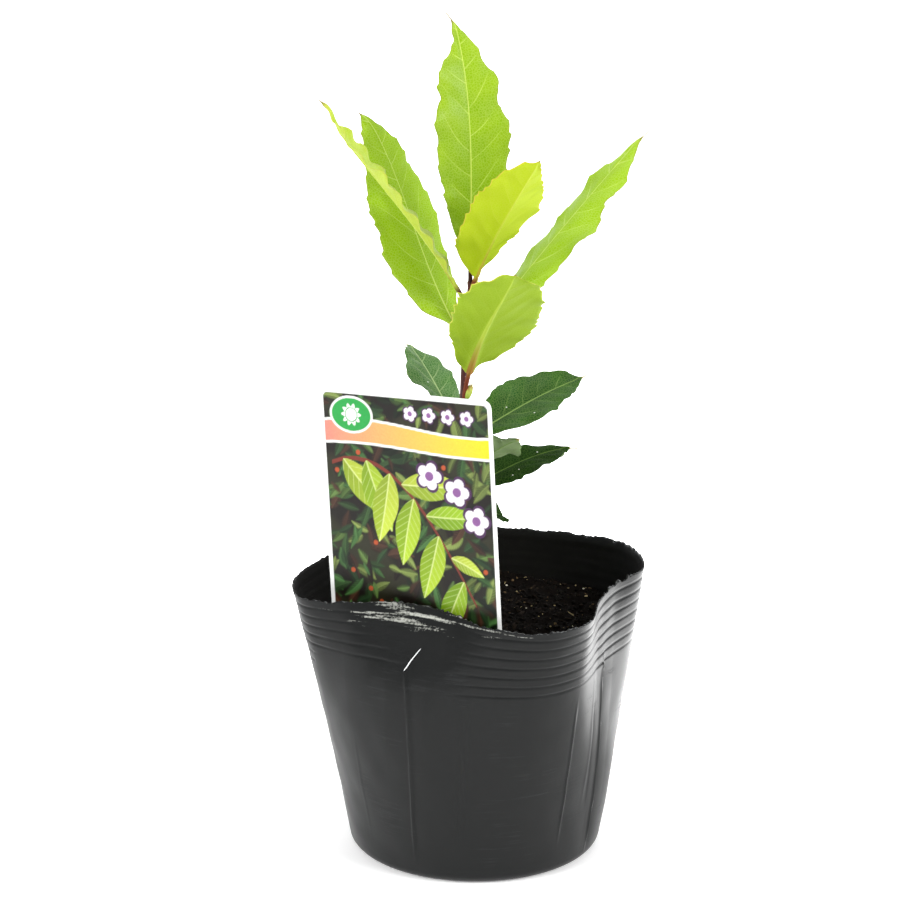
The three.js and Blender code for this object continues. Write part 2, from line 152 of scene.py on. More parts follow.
LEAVES = [
    Leaf("leaf_low_back_right", 101, (43, 40), (9, -10, -59), 3, 15.9, 13.1, 24, 13, 0.5, 3,
         "shaded", (2.6, 0.5)),
    Leaf("leaf_low_left", 105, (165, 172), (35, 22, 5), 4, 28, 13, 0, 14, 0.8, 3,
         "shaded", (3.4, 0.5)),
    Leaf("leaf_low_right", 110, (37, 36), (14, 10, -11), 4, 41, 15, 10, 6, 0.5, 4,
         "shaded", (3.8, 0.85),
         left=(100, 100, 100, 100, 100, 90, 85, 85, 80, 80, 78, 80, 86, 100, 106, 115, 113, 105,
               100, 100),
         right=(100, 100, 100, 105, 115, 117, 95, 105, 116, 115, 122, 106, 95, 120, 125, 118, 107,
                105, 110, 100), hook=-2.2, thread=3.2),
    Leaf("leaf_mid_front_left", 114, (-140, -150), (40, 25, 5), 3, 22, 12, 0, 14, 0.8, 3,
         "grown", (3.2, 0.5)),
    Leaf("leaf_mid_front_right", 118, (-51, -52), (20, 31, 22), 4, 25, 12, -28, 10, 0.5, 3,
         "grown", (2.4, 0.6),
         left=(115, 115, 115, 118, 120, 122, 124, 124, 122, 120, 118, 116, 114, 112, 108, 104, 100,
               98, 95, 90),
         right=(110, 110, 110, 112, 114, 116, 120, 124, 126, 124, 120, 112, 102, 90, 78, 66, 55,
                46, 40, 36)),
    Leaf("leaf_mid_right", 125, (34, 32), (21, 18, 8), 4, 43, 17.5, 24, 11, 0.5, 4,
         "grown", (4.2, 0.6),
         left=(100, 100, 100, 100, 100, 100, 103, 110, 111, 110, 106, 104, 102, 108, 118, 110,
               113, 120, 110, 100),
         right=(100, 95, 90, 90, 94, 100, 93, 93, 109, 106, 104, 107, 92, 90, 101, 101, 101, 100,
                85, 100), thread=0.8),
    Leaf("leaf_mid_back_left", 127, (121, 115), (31, 32, 8), 4, 39, 14.5, 12, 11, 0.5, 4,
         "painted_sheen", (3.6, 0.55),
         left=(100, 100, 100, 100, 95, 90, 92, 90, 115, 120, 125, 120, 107, 96, 95, 115, 122, 120,
               110, 100),
         right=(100, 100, 100, 95, 90, 90, 95, 100, 96, 90, 97, 97, 92, 100, 109, 109, 115, 100,
                100, 100), hook=2.6, thread=1.2),
    Leaf("leaf_front", 137, (-68, -63), (73, 48, 51), 10.5, 47.3, 25.4, -20, 15, 0.5, 5,
         "tender", (3.4, 1.1), 0.55, 26,
         left=(60, 70, 98, 101, 120, 123, 118, 119, 123, 119, 113, 112, 109, 111, 113, 110, 110,
               117, 125, 115),
         right=(99, 100, 91, 84, 89, 92, 90, 85, 85, 85, 85, 83, 90, 83, 82, 84, 80, 76, 80,
                90), hook=0),
    Leaf("leaf_long_right", 153, (18, 34), (50, 45, 39), 5, 82, 19, 3, -10, 0.5, 6,
         "painted_sunlit", (4.8, 0.95),
         left=(100, 100, 100, 100, 100, 98, 90, 84, 88, 76, 66, 72, 98, 85, 96, 100, 103, 98,
               100, 100),
         right=(100, 100, 100, 100, 100, 112, 111, 101, 104, 110, 120, 105, 91, 89, 109, 122, 113,
                105, 100, 100), hook=-1.8, thread=2.4),
    Leaf("leaf_long_back_left", 155, (139, 144), (45, 65, 49), 5, 71, 22.1, -13, -10, 0.5, 6,
         "painted_sunlit", (5.2, 1.0), 0.48, 22,
         left=(103, 103, 106, 107, 110, 106, 107, 111, 107, 102, 109, 109, 98, 102, 102, 99,
               99, 94, 97, 97),
         right=(90, 90, 84, 100, 100, 90, 88, 90, 98, 91, 94, 99, 93, 89, 85, 93, 83, 83, 80, 72),
         hook=3.4),
    Leaf("leaf_long_left", 164, (-171, -172), (65, 52, 58), 8, 72.5, 17, 0, 12, 0.75, 9,
         "edge_on_painted_backlight", (4.6, 1.0), hook=0, thread=2.5, twist=-7, curl=1.5),
    Leaf("leaf_top_front_right", 170, (-47, -56), (65, 53, 49), 5, 48.7, 20.5, -14, 14, 0.45, 5,
         "newest", (3.4, 1.0), 0.51, 18,
         left=(60, 60, 58, 60, 68, 78, 84, 80, 90, 116, 110, 100, 105, 100, 87, 76, 68, 62, 58,
               60),
         right=(107, 125, 129, 132, 134, 130, 118, 110, 107, 107, 107, 107, 107, 107, 107, 107,
                107, 107, 107, 107), hook=0),
    Leaf("leaf_top", 173, (108, 112), (90, 84, 42), 8.5, 73, 21.5, -8, 9, 0.6, 6,
         "fresh", (5, 0.8), 0.48, 6,
         left=(110, 105, 95, 93, 93, 89, 95, 95, 93, 92, 102, 99, 88, 104, 112, 102, 66, 62, 95,
               100),
         right=(100, 100, 100, 100, 100, 100, 100, 100, 104, 105, 106, 92, 91, 111, 105, 96, 112,
                104, 100, 100), hook=2.6, thread=1.6),
]

# Name, height, bearing, rise, length and radius.
BUDS = [("bud_axil", 139, -40, 70, 6, 0.9), ("bud_tip", 172, 20, 70, 4, 0.7)]

LABEL_MIDDLE = (-17, -24.5)  # where the card's centre line stands, level with the soil
LABEL_TURN = 31  # its right side comes forward
LABEL_LEAN = -3.3  # its top leans left
LABEL_CORNER = 2.4


# ---------------------------------------------------------------- colour and number helpers

def linear(code):
    """An sRGB hex code as linear red, green, blue and alpha."""
    parts = [int(code[i:i + 2], 16) / 255 for i in (1, 3, 5)]
    return (*(c / 12.92 if c <= 0.04045 else ((c + 0.055) / 1.055) ** 2.4 for c in parts), 1.0)


def heading(bearing, rise):
    """Unit vectors at bearings and rises above level, both in degrees."""
    bearing, rise = np.broadcast_arrays(np.radians(bearing), np.radians(rise))
    level = np.cos(rise)
    return np.stack([level * np.cos(bearing), level * np.sin(bearing), np.sin(rise)], -1)


def smooth_step(low, high, value):
    """0 below low, 1 above high, and smooth between them."""
    t = np.clip((value - low) / (high - low), 0, 1)
    return t * t * (3 - 2 * t)


def unevenness(points, size, seed, waves=28):
    """Smooth random relief of about -1 to 1 at each point, with bumps about size across."""
    draw = np.random.default_rng(seed)
    total = np.zeros(points.shape[:-1])
    for _ in range(waves):
        direction = draw.normal(size=points.shape[-1])
        direction *= draw.uniform(0.7, 1.4) * math.pi / (size * np.linalg.norm(direction))
        total += np.cos(points @ direction + draw.uniform(0, TURN))
    return total / math.sqrt(waves / 2)


def catmull(points, places, closed):
    """Points of a centripetal Catmull-Rom curve. A place of 2.5 is halfway from point 2 to 3."""
    count = len(points)
    if closed:
        wrapped = np.vstack([points[-1:], points, points[:2]])
    else:
        wrapped = np.vstack([2 * points[0] - points[1], points, 2 * points[-1] - points[-2]])
    first = np.clip(np.floor(places).astype(int), 0, count - (1 if closed else 2))
    w = (places - first)[:, None]
    a, b, c, d = (wrapped[first + i] for i in range(4))
    ab, bc, cd = (np.linalg.norm(q - p, axis=1, keepdims=True) ** 0.5
                  for p, q in ((a, b), (b, c), (c, d)))
    start = ((b - a) / ab - (c - a) / (ab + bc) + (c - b) / bc) * bc
    end = ((c - b) / bc - (d - b) / (bc + cd) + (d - c) / cd) * bc
    return (b + start * w + (3 * (c - b) - 2 * start - end) * w ** 2
            + (2 * (b - c) + start + end) * w ** 3)


# ---------------------------------------------------------------- mesh helpers

def grid_faces(rows, columns, closed=False, first=0):
    """Quads between neighbouring points of a grid. Closed joins the last column to the first."""
    across = columns if closed else columns - 1
    row, column = np.meshgrid(np.arange(rows - 1), np.arange(across), indexing="ij")
    beside = (column + 1) % columns
    corners = [row * columns + column, row * columns + beside,
               (row + 1) * columns + beside, (row + 1) * columns + column]
    return (np.stack(corners, -1).reshape(-1, 4) + first).tolist()


def tube_faces(rings, columns):
    """Faces round a stack of rings, with a cap on each end."""
    last = (rings - 1) * columns
    caps = [list(range(columns))[::-1], list(range(last, last + columns))]
    return grid_faces(rings, columns, closed=True) + caps


def border_steps(rows, columns):
    """Pairs of neighbouring points, once round the border of a grid."""
    last_row, last_column = (rows - 1) * columns, columns - 1
    border = list(range(0, last_row, columns))
    border += range(last_row, last_row + last_column)
    border += range(last_row + last_column, last_column, -columns)
    border += range(last_column, 0, -1)
    return zip(border, border[1:] + border[:1])


# How a mesh keeps a fact of so many numbers at each point.
FACT_KINDS = {1: ("FLOAT", "value"), 3: ("FLOAT_VECTOR", "vector"), 4: ("FLOAT_COLOR", "color")}


def mesh_piece(name, points, faces, facts=None, smooth=True):
    """An object with a mesh of points in millimetres. Facts are named values at each point."""
    mesh = bpy.data.meshes.new(name)
    mesh.from_pydata((np.asarray(points) * MM).tolist(), [], faces, shade_flat=not smooth)
    for fact, values in (facts or {}).items():
        values = np.asarray(values, np.float32)
        kind, field = FACT_KINDS[values.size // len(points)]
        mesh.attributes.new(fact, kind, "POINT").data.foreach_set(field, values.ravel())
    mesh.update()
    mesh.validate()
    piece = bpy.data.objects.new(name, mesh)
    bpy.context.scene.collection.objects.link(piece)
    return piece


def hand_over(piece, material, slot, *nodes):
    """Gives a piece its finish and its place on the model, where it stands for those nodes."""
    piece.data.materials.append(material)
    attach(piece, BODY)
    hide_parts(*nodes)


# ---------------------------------------------------------------- material helpers

def add_node(tree, kind, *inputs, sockets=None, stops=None, **settings):
    """Adds a shader node with its settings. Inputs go to its open sockets in order, and sockets to
    those that it names. A node or socket is linked, a value is set, and None leaves one alone."""
    made = tree.nodes.new("ShaderNode" + kind)
    for name, value in settings.items():
        setattr(made, name, value)
    if stops:
        ramp = made.color_ramp
        while len(ramp.elements) < len(stops):
            ramp.elements.new(1)
        for element, (place, colour) in zip(ramp.elements, stops):
            element.position = place
            element.color = colour
    pairs = list(zip([s for s in made.inputs if s.enabled], inputs))
    pairs += [(made.inputs[name], value) for name, value in (sockets or {}).items()]
    for socket, value in pairs:
        if isinstance(value, bpy.types.Node):
            value = next(s for s in value.outputs if s.enabled)
        if isinstance(value, bpy.types.NodeSocket):
            tree.links.new(value, socket)
        elif value is not None:
            socket.default_value = value
    return made


def start_material(name):
    """An empty material and its node tree."""
    material = bpy.data.materials.new(name)
    material.use_nodes = True
    material.node_tree.nodes.clear()
    return material, material.node_tree


def per_metre(size):
    """The scale of a pattern with features size millimetres apart, on coordinates in metres."""
    return 1 / (size * MM)


# ---------------------------------------------------------------- finishes

def rubbed_streaks_and_glints(tree, place):
    """Where the wall was rubbed, broken streaks about 1 mm high are painted whitish: partly rubbed
    wear, partly painted highlight.
    """
    rubbed_and_glinting = add_node(tree, "Attribute", attribute_name="rubbed_and_glinting").outputs["Fac"]
    along_wall = add_node(tree, "Mapping", place, None, None, (0.07, 0.07, 1.0))
    streaks = add_node(tree, "TexNoise", along_wall, per_metre(1.0), 2.0, 0.6)
    streak = add_node(tree, "MapRange", streaks, 0.45, 0.64, -0.9, 0.1)
    flecks = add_node(tree, "TexNoise", place, per_metre(0.8), 2.0, 0.6)
    fleck = add_node(tree, "MapRange", flecks, 0.42, 0.56, -0.4, 0.0)
    broken = add_node(tree, "Math", streak, fleck, operation="ADD")
    whitened = add_node(tree, "Math", rubbed_and_glinting, broken, operation="ADD")
    return add_node(tree, "MapRange", whitened, 0.15, 0.95, 0.0, 0.52)


def polyethylene(settings):
    """Black polyethylene, blow moulded thin: satin, faintly rippled, with pale scuffs that run
    round the wall, a paler trimmed rim, whitish streaks below the rim that are partly wear and
    partly painted highlight, and painted shade inside."""
    material, tree = start_material("blow_moulded_polyethylene")
    place = add_node(tree, "TexCoord").outputs["Object"]
    # Handling draws hair-fine scuffs round the wall: 0.8 mm high here, so that they show.
    along_wall = add_node(tree, "Mapping", place, None, None, (0.05, 0.05, 1.0))
    scuffs = add_node(tree, "TexNoise", along_wall, per_metre(0.8), 5.0, 0.65)
    patches = add_node(tree, "TexNoise", place, per_metre(16), 3.0)
    worn = add_node(tree, "Math", scuffs, patches, operation="MULTIPLY")
    scuffed = add_node(tree, "MapRange", worn, 0.31, 0.46, 0.0, 1.0,
                       interpolation_type="SMOOTHSTEP")
    scuffed_share = add_node(tree, "Math", scuffed, 0.2, operation="MULTIPLY")
    handled = add_node(tree, "Mix", scuffed_share, (*settings.plastic, 1), linear("#3A3C3D"),
                       data_type="RGBA")
    rim = add_node(tree, "Attribute", attribute_name="rim").outputs["Fac"]
    ragged = add_node(tree, "TexNoise", place, per_metre(0.9), 4.0)
    edge = add_node(tree, "Math", rim, ragged, operation="MULTIPLY")
    edge_share = add_node(tree, "MapRange", edge, 0.45, 0.65, 0.0, 0.6)
    trimmed = add_node(tree, "Mix", edge_share, handled, linear("#8A8E90"), data_type="RGBA")
    # Whitish streaks: partly rubbed wear, partly painted highlight.
    white = add_node(tree, "Mix", rubbed_streaks_and_glints(tree, place), trimmed, linear("#E2E4DA"),
                     data_type="RGBA")
    # Inside it is darkened as painted shade, and dulled, as by a film of damp peat.
    painted_shade_within = add_node(tree, "Attribute", attribute_name="painted_shade_within").outputs["Fac"]
    colour = add_node(tree, "Mix", painted_shade_within, white, linear("#080706"), data_type="RGBA")
    dull = add_node(tree, "MapRange", painted_shade_within, 0.0, 1.0, 0.34, 0.6)
    roughness = add_node(tree, "MapRange", scuffed, 0.0, 1.0, dull, 0.5)
    # Blowing has left faint ripples in the skin.
    ripples = add_node(tree, "TexNoise", place, per_metre(2.4), 4.0, 0.6)
    height = add_node(tree, "Math", scuffed, ripples, operation="ADD")
    bump = add_node(tree, "Bump", sockets={"Strength": 0.3, "Distance": 0.00008, "Height": height})
    shader = add_node(tree, "BsdfPrincipled", sockets={
        "Base Color": colour, "Roughness": roughness, "IOR": 1.51, "Specular IOR Level": 0.17,
        "Normal": bump})
    add_node(tree, "OutputMaterial", shader)
    return material


def stretched_polyethylene():
    """Polyethylene stretched where it creased: it turns milky white and dull."""
    material, tree = start_material("stretched_polyethylene")
    place = add_node(tree, "TexCoord").outputs["Object"]
    grain = add_node(tree, "TexNoise", place, per_metre(0.6), 3.0)
    colour = add_node(tree, "ValToRGB", grain, stops=[
        (0.3, linear("#D9DDDD")), (0.7, linear("#FCFCFC"))])
    shader = add_node(tree, "BsdfPrincipled", sockets={"Base Color": colour, "Roughness": 0.6})
    add_node(tree, "OutputMaterial", shader)
    return material


def potting_mix(settings):
    """Damp peat potting mix: nearly black brown, crumbled, with no gloss."""
    material, tree = start_material("damp_potting_mix")
    place = add_node(tree, "TexCoord").outputs["Object"]
    crumbs = add_node(tree, "TexNoise", place, per_metre(2.2), 6.0, 0.7)
    colour = add_node(tree, "ValToRGB", crumbs, stops=[
        (0.32, (*settings.peat, 1)), (0.62, linear("#0F0B09")), (0.78, linear("#281F16"))])
    fine = add_node(tree, "TexNoise", place, per_metre(0.7), 5.0, 0.7)
    bump = add_node(tree, "Bump", sockets={"Strength": 0.9, "Distance": 0.0006, "Height": fine})
    shader = add_node(tree, "BsdfPrincipled", sockets={
        "Base Color": colour, "Roughness": 0.95, "Specular IOR Level": 0.04, "Normal": bump})
    add_node(tree, "OutputMaterial", shader)
    return material


def crumbled_grit():
    """Loose peat, bark and perlite crumbs, each in its own colour, and dusty."""
    material, tree = start_material("peat_bark_and_perlite")
    own = add_node(tree, "Attribute", attribute_name="grit").outputs["Color"]
    place = add_node(tree, "TexCoord").outputs["Object"]
    mottle = add_node(tree, "TexNoise", place, per_metre(0.5), 3.0)
    shade = add_node(tree, "MapRange", mottle, 0.3, 0.7, 0.7, 1.25)
    colour = add_node(tree, "Mix", 1.0, own, shade, data_type="RGBA", blend_type="MULTIPLY")
    shader = add_node(tree, "BsdfPrincipled", sockets={
        "Base Color": colour, "Roughness": 0.9, "Specular IOR Level": 0.08})
    add_node(tree, "OutputMaterial", shader)
    return material


def young_bark(settings):
    """Bark in its first year: reddish brown and smooth, finely streaked along the stem, with small
    pale pores, and redder towards the top."""
    material, tree = start_material("young_laurel_bark")
    place = add_node(tree, "TexCoord").outputs["Object"]
    height = add_node(tree, "SeparateXYZ", place).outputs["Z"]
    along = add_node(tree, "Mapping", place, None, None, (1.0, 1.0, 0.12))
    streaks = add_node(tree, "TexNoise", along, per_metre(0.5), 4.0, 0.6)
    streaked = add_node(tree, "ValToRGB", streaks, stops=[
        (0.3, linear("#281014")), (0.55, (*settings.bark, 1)), (0.75, linear("#6A382C"))])
    age = add_node(tree, "MapRange", height, 0.115, 0.165, 0.0, 0.55)
    aged = add_node(tree, "Mix", age, streaked, linear("#582020"), data_type="RGBA")
    cells = add_node(tree, "TexVoronoi", place, sockets={"Scale": per_metre(1.3)})
    pore = add_node(tree, "MapRange", cells, 0.12, 0.2, 0.5, 0.0)
    colour = add_node(tree, "Mix", pore, aged, linear("#A88672"), data_type="RGBA")
    bump = add_node(tree, "Bump", sockets={"Strength": 0.4, "Distance": 0.0001, "Height": streaks})
    shader = add_node(tree, "BsdfPrincipled", sockets={
        "Base Color": colour, "Roughness": 0.5, "Normal": bump})
    add_node(tree, "OutputMaterial", shader)
    return material


class LeafLook(NamedTuple):
    """Colours of a leaf's parts, its roughness and gloss, the share of light that it lets through,
    how far the stalk's colour runs up the rib, how wide the rib is at its base, how strongly the
    side veins show, and whether white dust lies on it. Lengths are in millimetres."""

    upper: str
    toward_tip: str
    lower: str
    vein: str
    edge: str
    stalk: str
    rib_base: str
    roughness: float
    gloss: float
    see_through: float
    red_reach: float
    rib: float
    veins: float
    dust: float


LEAF_LOOKS = {
    "fresh": LeafLook("#84AA06", "#96B80C", "#A8C42E", "#D4E270", "#9AA23E", "#4A2420", "#B8A850",
                      0.45, 0.35, 0.36, 6, 0.52, 0.6, 0),
    # A copy of the fresh look with lighter greens: painted light, for leaves that face the light.
    "painted_sunlit": LeafLook("#9ABD08", "#9EC212", "#A8C42E", "#DCE884", "#9AA23E", "#4A2420", "#B8A850",
                       0.45, 0.35, 0.38, 6, 0.52, 0.6, 0),
    # Paler, yellower greens: painted light from behind, shining through a leaf seen edge on.
    "edge_on_painted_backlight": LeafLook("#AEC62A", "#C0D23A", "#BCCC3C", "#D6E07C", "#CACC5A", "#5A2622",
                        "#B8884A", 0.45, 0.35, 0.4, 12, 0.62, 0.4, 0),
    "newest": LeafLook("#A6C602", "#A6B02A", "#B8CC0C", "#CCD448", "#D8C04A", "#8E4A32",
                       "#C0A03A", 0.45, 0.35, 0.3, 18, 1.0, 0.25, 0),
    "tender": LeafLook("#7AA20E", "#A4BC18", "#94B21C", "#B4C844", "#D8D45A", "#84402A",
                       "#A8622C", 0.5, 0.35, 0.26, 20, 2.1, 0.3, 0),
    # A lighter, greyer copy of the grown look: a painted sheen.
    "painted_sheen": LeafLook("#2E5A22", "#3E6C2E", "#83996A", "#A0B47C", "#46662A", "#6A3028",
                          "#8FA25C", 0.5, 0.2, 0.05, 3, 0.55, 0.5, 1),
    "grown": LeafLook("#193F0D", "#285515", "#8EA476", "#7C9850", "#46662A", "#6A3028", "#8FA25C",
                      0.5, 0.14, 0.05, 3, 0.55, 0.4, 1),
    # A darker copy of the grown look: painted shade, for the low leaves under the others.
    "shaded": LeafLook("#0E2808", "#18380C", "#7E9A60", "#587034", "#24480F", "#4A2420", "#6C8444",
                       0.75, 0.03, 0.03, 3, 0.45, 0.12, 1),
}
OLD_KINDS = ("painted_sheen", "grown", "shaded")
LEAF_THICKNESS = 0.36
RIB_TIP = 0.22  # width of the rib at the tip
NET_SIZE = 0.8  # width of the meshes in the net of fine veins
VEIN_SLOPE = (0.75, 0.5)  # how far a side vein runs forward: with its reach, and with its square


def side_vein_lines(tree, look, phase, spacing, share, patches):
    """Side veins, about 0.3 mm wide, that fade before the edge and here and there on their way."""
    nearest = add_node(tree, "Math", phase, 0.5, operation="PINGPONG")
    distance = add_node(tree, "Math", nearest, spacing, operation="MULTIPLY")
    line = add_node(tree, "MapRange", distance, 0.24, 0.06, 0.0, look.veins,
                    interpolation_type="SMOOTHSTEP")
    inside = add_node(tree, "MapRange", share, 0.95, 0.4, 0.0, 1.0)
    showing = add_node(tree, "MapRange", patches, 0.35, 0.55, 0.35, 1.0)
    faded = add_node(tree, "Math", line, inside, operation="MULTIPLY")
    return add_node(tree, "Math", faded, showing, operation="MULTIPLY")


def fine_net(tree, blade, place):
    """A net of fine veins with meshes of about 0.8 mm, drawn unevenly, and pale dots in them."""
    drift = add_node(tree, "TexNoise", blade, 0.5, 2.0).outputs["Color"]
    shifted = add_node(tree, "VectorMath", drift, (1, 1, 1), blade, operation="MULTIPLY_ADD")
    cells = add_node(tree, "TexVoronoi", shifted, voronoi_dimensions="2D",
                     feature="DISTANCE_TO_EDGE", sockets={"Scale": 1 / NET_SIZE})
    net = add_node(tree, "MapRange", cells, 0.02, 0.2, 1.0, 0.0)
    dots = add_node(tree, "TexNoise", place, per_metre(0.55), 3.0, 0.6)
    dotted = add_node(tree, "MapRange", dots, 0.5, 0.72, 0.0, 1.0)
    return add_node(tree, "Math", net, dotted, operation="MAXIMUM")


def leaf_green(tree, look, along, share, under, patches):
    """The green of both faces. Above, it varies in soft patches and is paler towards the tip and
    the edge."""
    to_tip = add_node(tree, "MapRange", along, 5.0, 75.0, 0.1, 0.7)
    to_edge = add_node(tree, "MapRange", share, 0.3, 1.0, 0.0, 0.3)
    paler = add_node(tree, "Math", to_tip, to_edge, operation="ADD")
    patchy = add_node(tree, "MapRange", patches, 0.3, 0.7, -0.4, 0.4)
    pale = add_node(tree, "Math", paler, patchy, operation="ADD", use_clamp=True)
    top_face = add_node(tree, "Mix", pale, linear(look.upper), linear(look.toward_tip),
                        data_type="RGBA")
    return add_node(tree, "Mix", under, top_face, linear(look.lower), data_type="RGBA")


def dust_specks(tree, look, place):
    """Hard water and dust leave white specks, about 0.5 mm across, on the older leaves."""
    cells = add_node(tree, "TexVoronoi", place, sockets={"Scale": per_metre(2.6)})
    chosen = add_node(tree, "Math", cells.outputs["Color"], 0.72, operation="GREATER_THAN")
    spot = add_node(tree, "MapRange", cells, 0.07, 0.12, look.dust, 0.0)
    return add_node(tree, "Math", spot, chosen, operation="MULTIPLY")


def laurel_leaf(kind):
    """A laurel leaf: a waxy skin over a fine net of veins, paler along the rib and side veins,
    with a thin horny edge. Light from behind shows through its green."""
    look = LEAF_LOOKS[kind]
    material, tree = start_material(kind + "_laurel_leaf")
    blade = add_node(tree, "Attribute", attribute_name="blade").outputs["Vector"]
    veins = add_node(tree, "Attribute", attribute_name="vein").outputs["Vector"]
    place = add_node(tree, "TexCoord").outputs["Object"]
    along, across, half = add_node(tree, "SeparateXYZ", blade).outputs
    phase, spacing, under = add_node(tree, "SeparateXYZ", veins).outputs
    reach = add_node(tree, "Math", across, operation="ABSOLUTE")
    share = add_node(tree, "Math", reach, half, operation="DIVIDE")
    patches = add_node(tree, "TexNoise", place, per_metre(7), 3.0, 0.55)

    face = leaf_green(tree, look, along, share, under, patches)
    netting = fine_net(tree, blade, place)
    net_share = add_node(tree, "Math", netting, 0.3, operation="MULTIPLY")
    netted = add_node(tree, "Mix", net_share, face, linear(look.vein), data_type="RGBA")
    side_vein = side_vein_lines(tree, look, phase, spacing, share, patches)
    veined = add_node(tree, "Mix", side_vein, netted, linear(look.vein), data_type="RGBA")
    to_side = add_node(tree, "Math", half, reach, operation="SUBTRACT")
    horny = add_node(tree, "MapRange", to_side, 0.32, 0.08, 0.0, 0.8)
    edged = add_node(tree, "Mix", horny, veined, linear(look.edge), data_type="RGBA")

    # The rib narrows from the stalk to the tip, and keeps some of the stalk's red near its base.
    rib_half = add_node(tree, "MapRange", along, 0.0, 45.0, look.rib / 2, RIB_TIP / 2)
    to_rib = add_node(tree, "Math", rib_half, reach, operation="SUBTRACT")
    rib = add_node(tree, "MapRange", to_rib, -0.08, 0.08, 0.0, 0.85,
                   interpolation_type="SMOOTHSTEP")
    reddish = add_node(tree, "MapRange", along, 0.0, look.red_reach, 1.0, 0.0,
                       interpolation_type="SMOOTHSTEP")
    rib_colour = add_node(tree, "Mix", reddish, linear(look.vein), linear(look.rib_base),
                          data_type="RGBA")
    ribbed = add_node(tree, "Mix", rib, edged, rib_colour, data_type="RGBA")
    on_stalk = add_node(tree, "MapRange", along, 1.5, -1.5, 0.0, 1.0,
                        interpolation_type="SMOOTHSTEP")
    whole = add_node(tree, "Mix", on_stalk, ribbed, linear(look.stalk), data_type="RGBA")
    # The very tip dries to a brown point.
    dry = add_node(tree, "MapRange", half, 0.75, 0.35, 0.0, 1.0)
    on_blade = add_node(tree, "MapRange", along, 10.0, 12.0, 0.0, 0.85)
    dry_tip = add_node(tree, "Math", dry, on_blade, operation="MULTIPLY")
    tipped = add_node(tree, "Mix", dry_tip, whole, linear("#8A7A3A"), data_type="RGBA")
    dusted = add_node(tree, "Mix", dust_specks(tree, look, place), tipped, linear("#E4E8DC"),
                      data_type="RGBA")

    ridge = add_node(tree, "Math", netting, 0.5, operation="MULTIPLY")
    skin = add_node(tree, "TexNoise", place, per_metre(0.3), 2.0)
    relief = add_node(tree, "Math", ridge, skin, operation="ADD")
    bump = add_node(tree, "Bump", sockets={"Strength": 0.3, "Distance": 0.00005, "Height": relief})
    roughness = add_node(tree, "MapRange", under, 0.0, 1.0, look.roughness, 0.62)
    waxy = add_node(tree, "BsdfPrincipled", sockets={
        "Base Color": dusted, "Roughness": roughness, "Specular IOR Level": look.gloss,
        "Normal": bump})
    lit = add_node(tree, "BsdfTranslucent", dusted, bump)
    leaf = add_node(tree, "MixShader", look.see_through, waxy, lit)
    add_node(tree, "OutputMaterial", leaf)
    return material


def bud_scale():
    """Bud scales: tight, slightly downy and yellow green, with browned tips."""
    material, tree = start_material("downy_bud_scale")
    own = add_node(tree, "Attribute", attribute_name="toward_tip").outputs["Fac"]
    place = add_node(tree, "TexCoord").outputs["Object"]
    down = add_node(tree, "TexNoise", place, per_metre(0.4), 3.0)
    shift = add_node(tree, "MapRange", down, 0.3, 0.7, -0.15, 0.15)
    where = add_node(tree, "Math", own, shift, operation="ADD")
    colour = add_node(tree, "ValToRGB", where, stops=[
        (0.0, linear("#8AA63A")), (0.6, linear("#B9C956")), (0.95, linear("#A8804A"))])
    shader = add_node(tree, "BsdfPrincipled", sockets={"Base Color": colour, "Roughness": 0.6})
    add_node(tree, "OutputMaterial", shader)
    return material


def label_card(settings):
    """Extruded polypropylene card: white and smooth."""
    material, tree = start_material("extruded_polypropylene_card")
    place = add_node(tree, "TexCoord").outputs["Object"]
    cloud = add_node(tree, "TexNoise", place, per_metre(9), 3.0)
    shade = add_node(tree, "MapRange", cloud, 0.3, 0.7, 0.0, 1.0)
    colour = add_node(tree, "Mix", shade, (*settings.card, 1), linear("#F7F8F6"),
                      data_type="RGBA")
    # The back is painted a darker grey green: painted shade, so that it does not glare white.
    reverse = add_node(tree, "Attribute", attribute_name="reverse").outputs["Fac"]
    back_painted_shade = add_node(tree, "Mix", reverse, colour, linear("#B4BAAC"), data_type="RGBA")
    grain = add_node(tree, "TexNoise", place, per_metre(0.5), 2.0)
    bump = add_node(tree, "Bump", sockets={"Strength": 0.1, "Distance": 0.0001, "Height": grain})
    shader = add_node(tree, "BsdfPrincipled", sockets={
        "Base Color": back_painted_shade, "Roughness": 0.34, "IOR": 1.49, "Normal": bump})
    add_node(tree, "OutputMaterial", shader)
    return material


def offset_ink():
    """Offset printing ink on plastic: flat, even and slightly glossy, with a faint grain."""
    material, tree = start_material("offset_ink_on_plastic")
    own = add_node(tree, "Attribute", attribute_name="ink").outputs["Color"]
    place = add_node(tree, "TexCoord").outputs["Object"]
    grain = add_node(tree, "TexNoise", place, per_metre(0.6), 4.0, 0.7)
    shade = add_node(tree, "MapRange", grain, 0.3, 0.7, 0.77, 0.9)
    colour = add_node(tree, "Mix", 1.0, own, shade, data_type="RGBA", blend_type="MULTIPLY")
    shader = add_node(tree, "BsdfPrincipled", sockets={
        "Base Color": colour, "Roughness": 0.42, "Specular IOR Level": 0.3})
    add_node(tree, "OutputMaterial", shader)
    return material


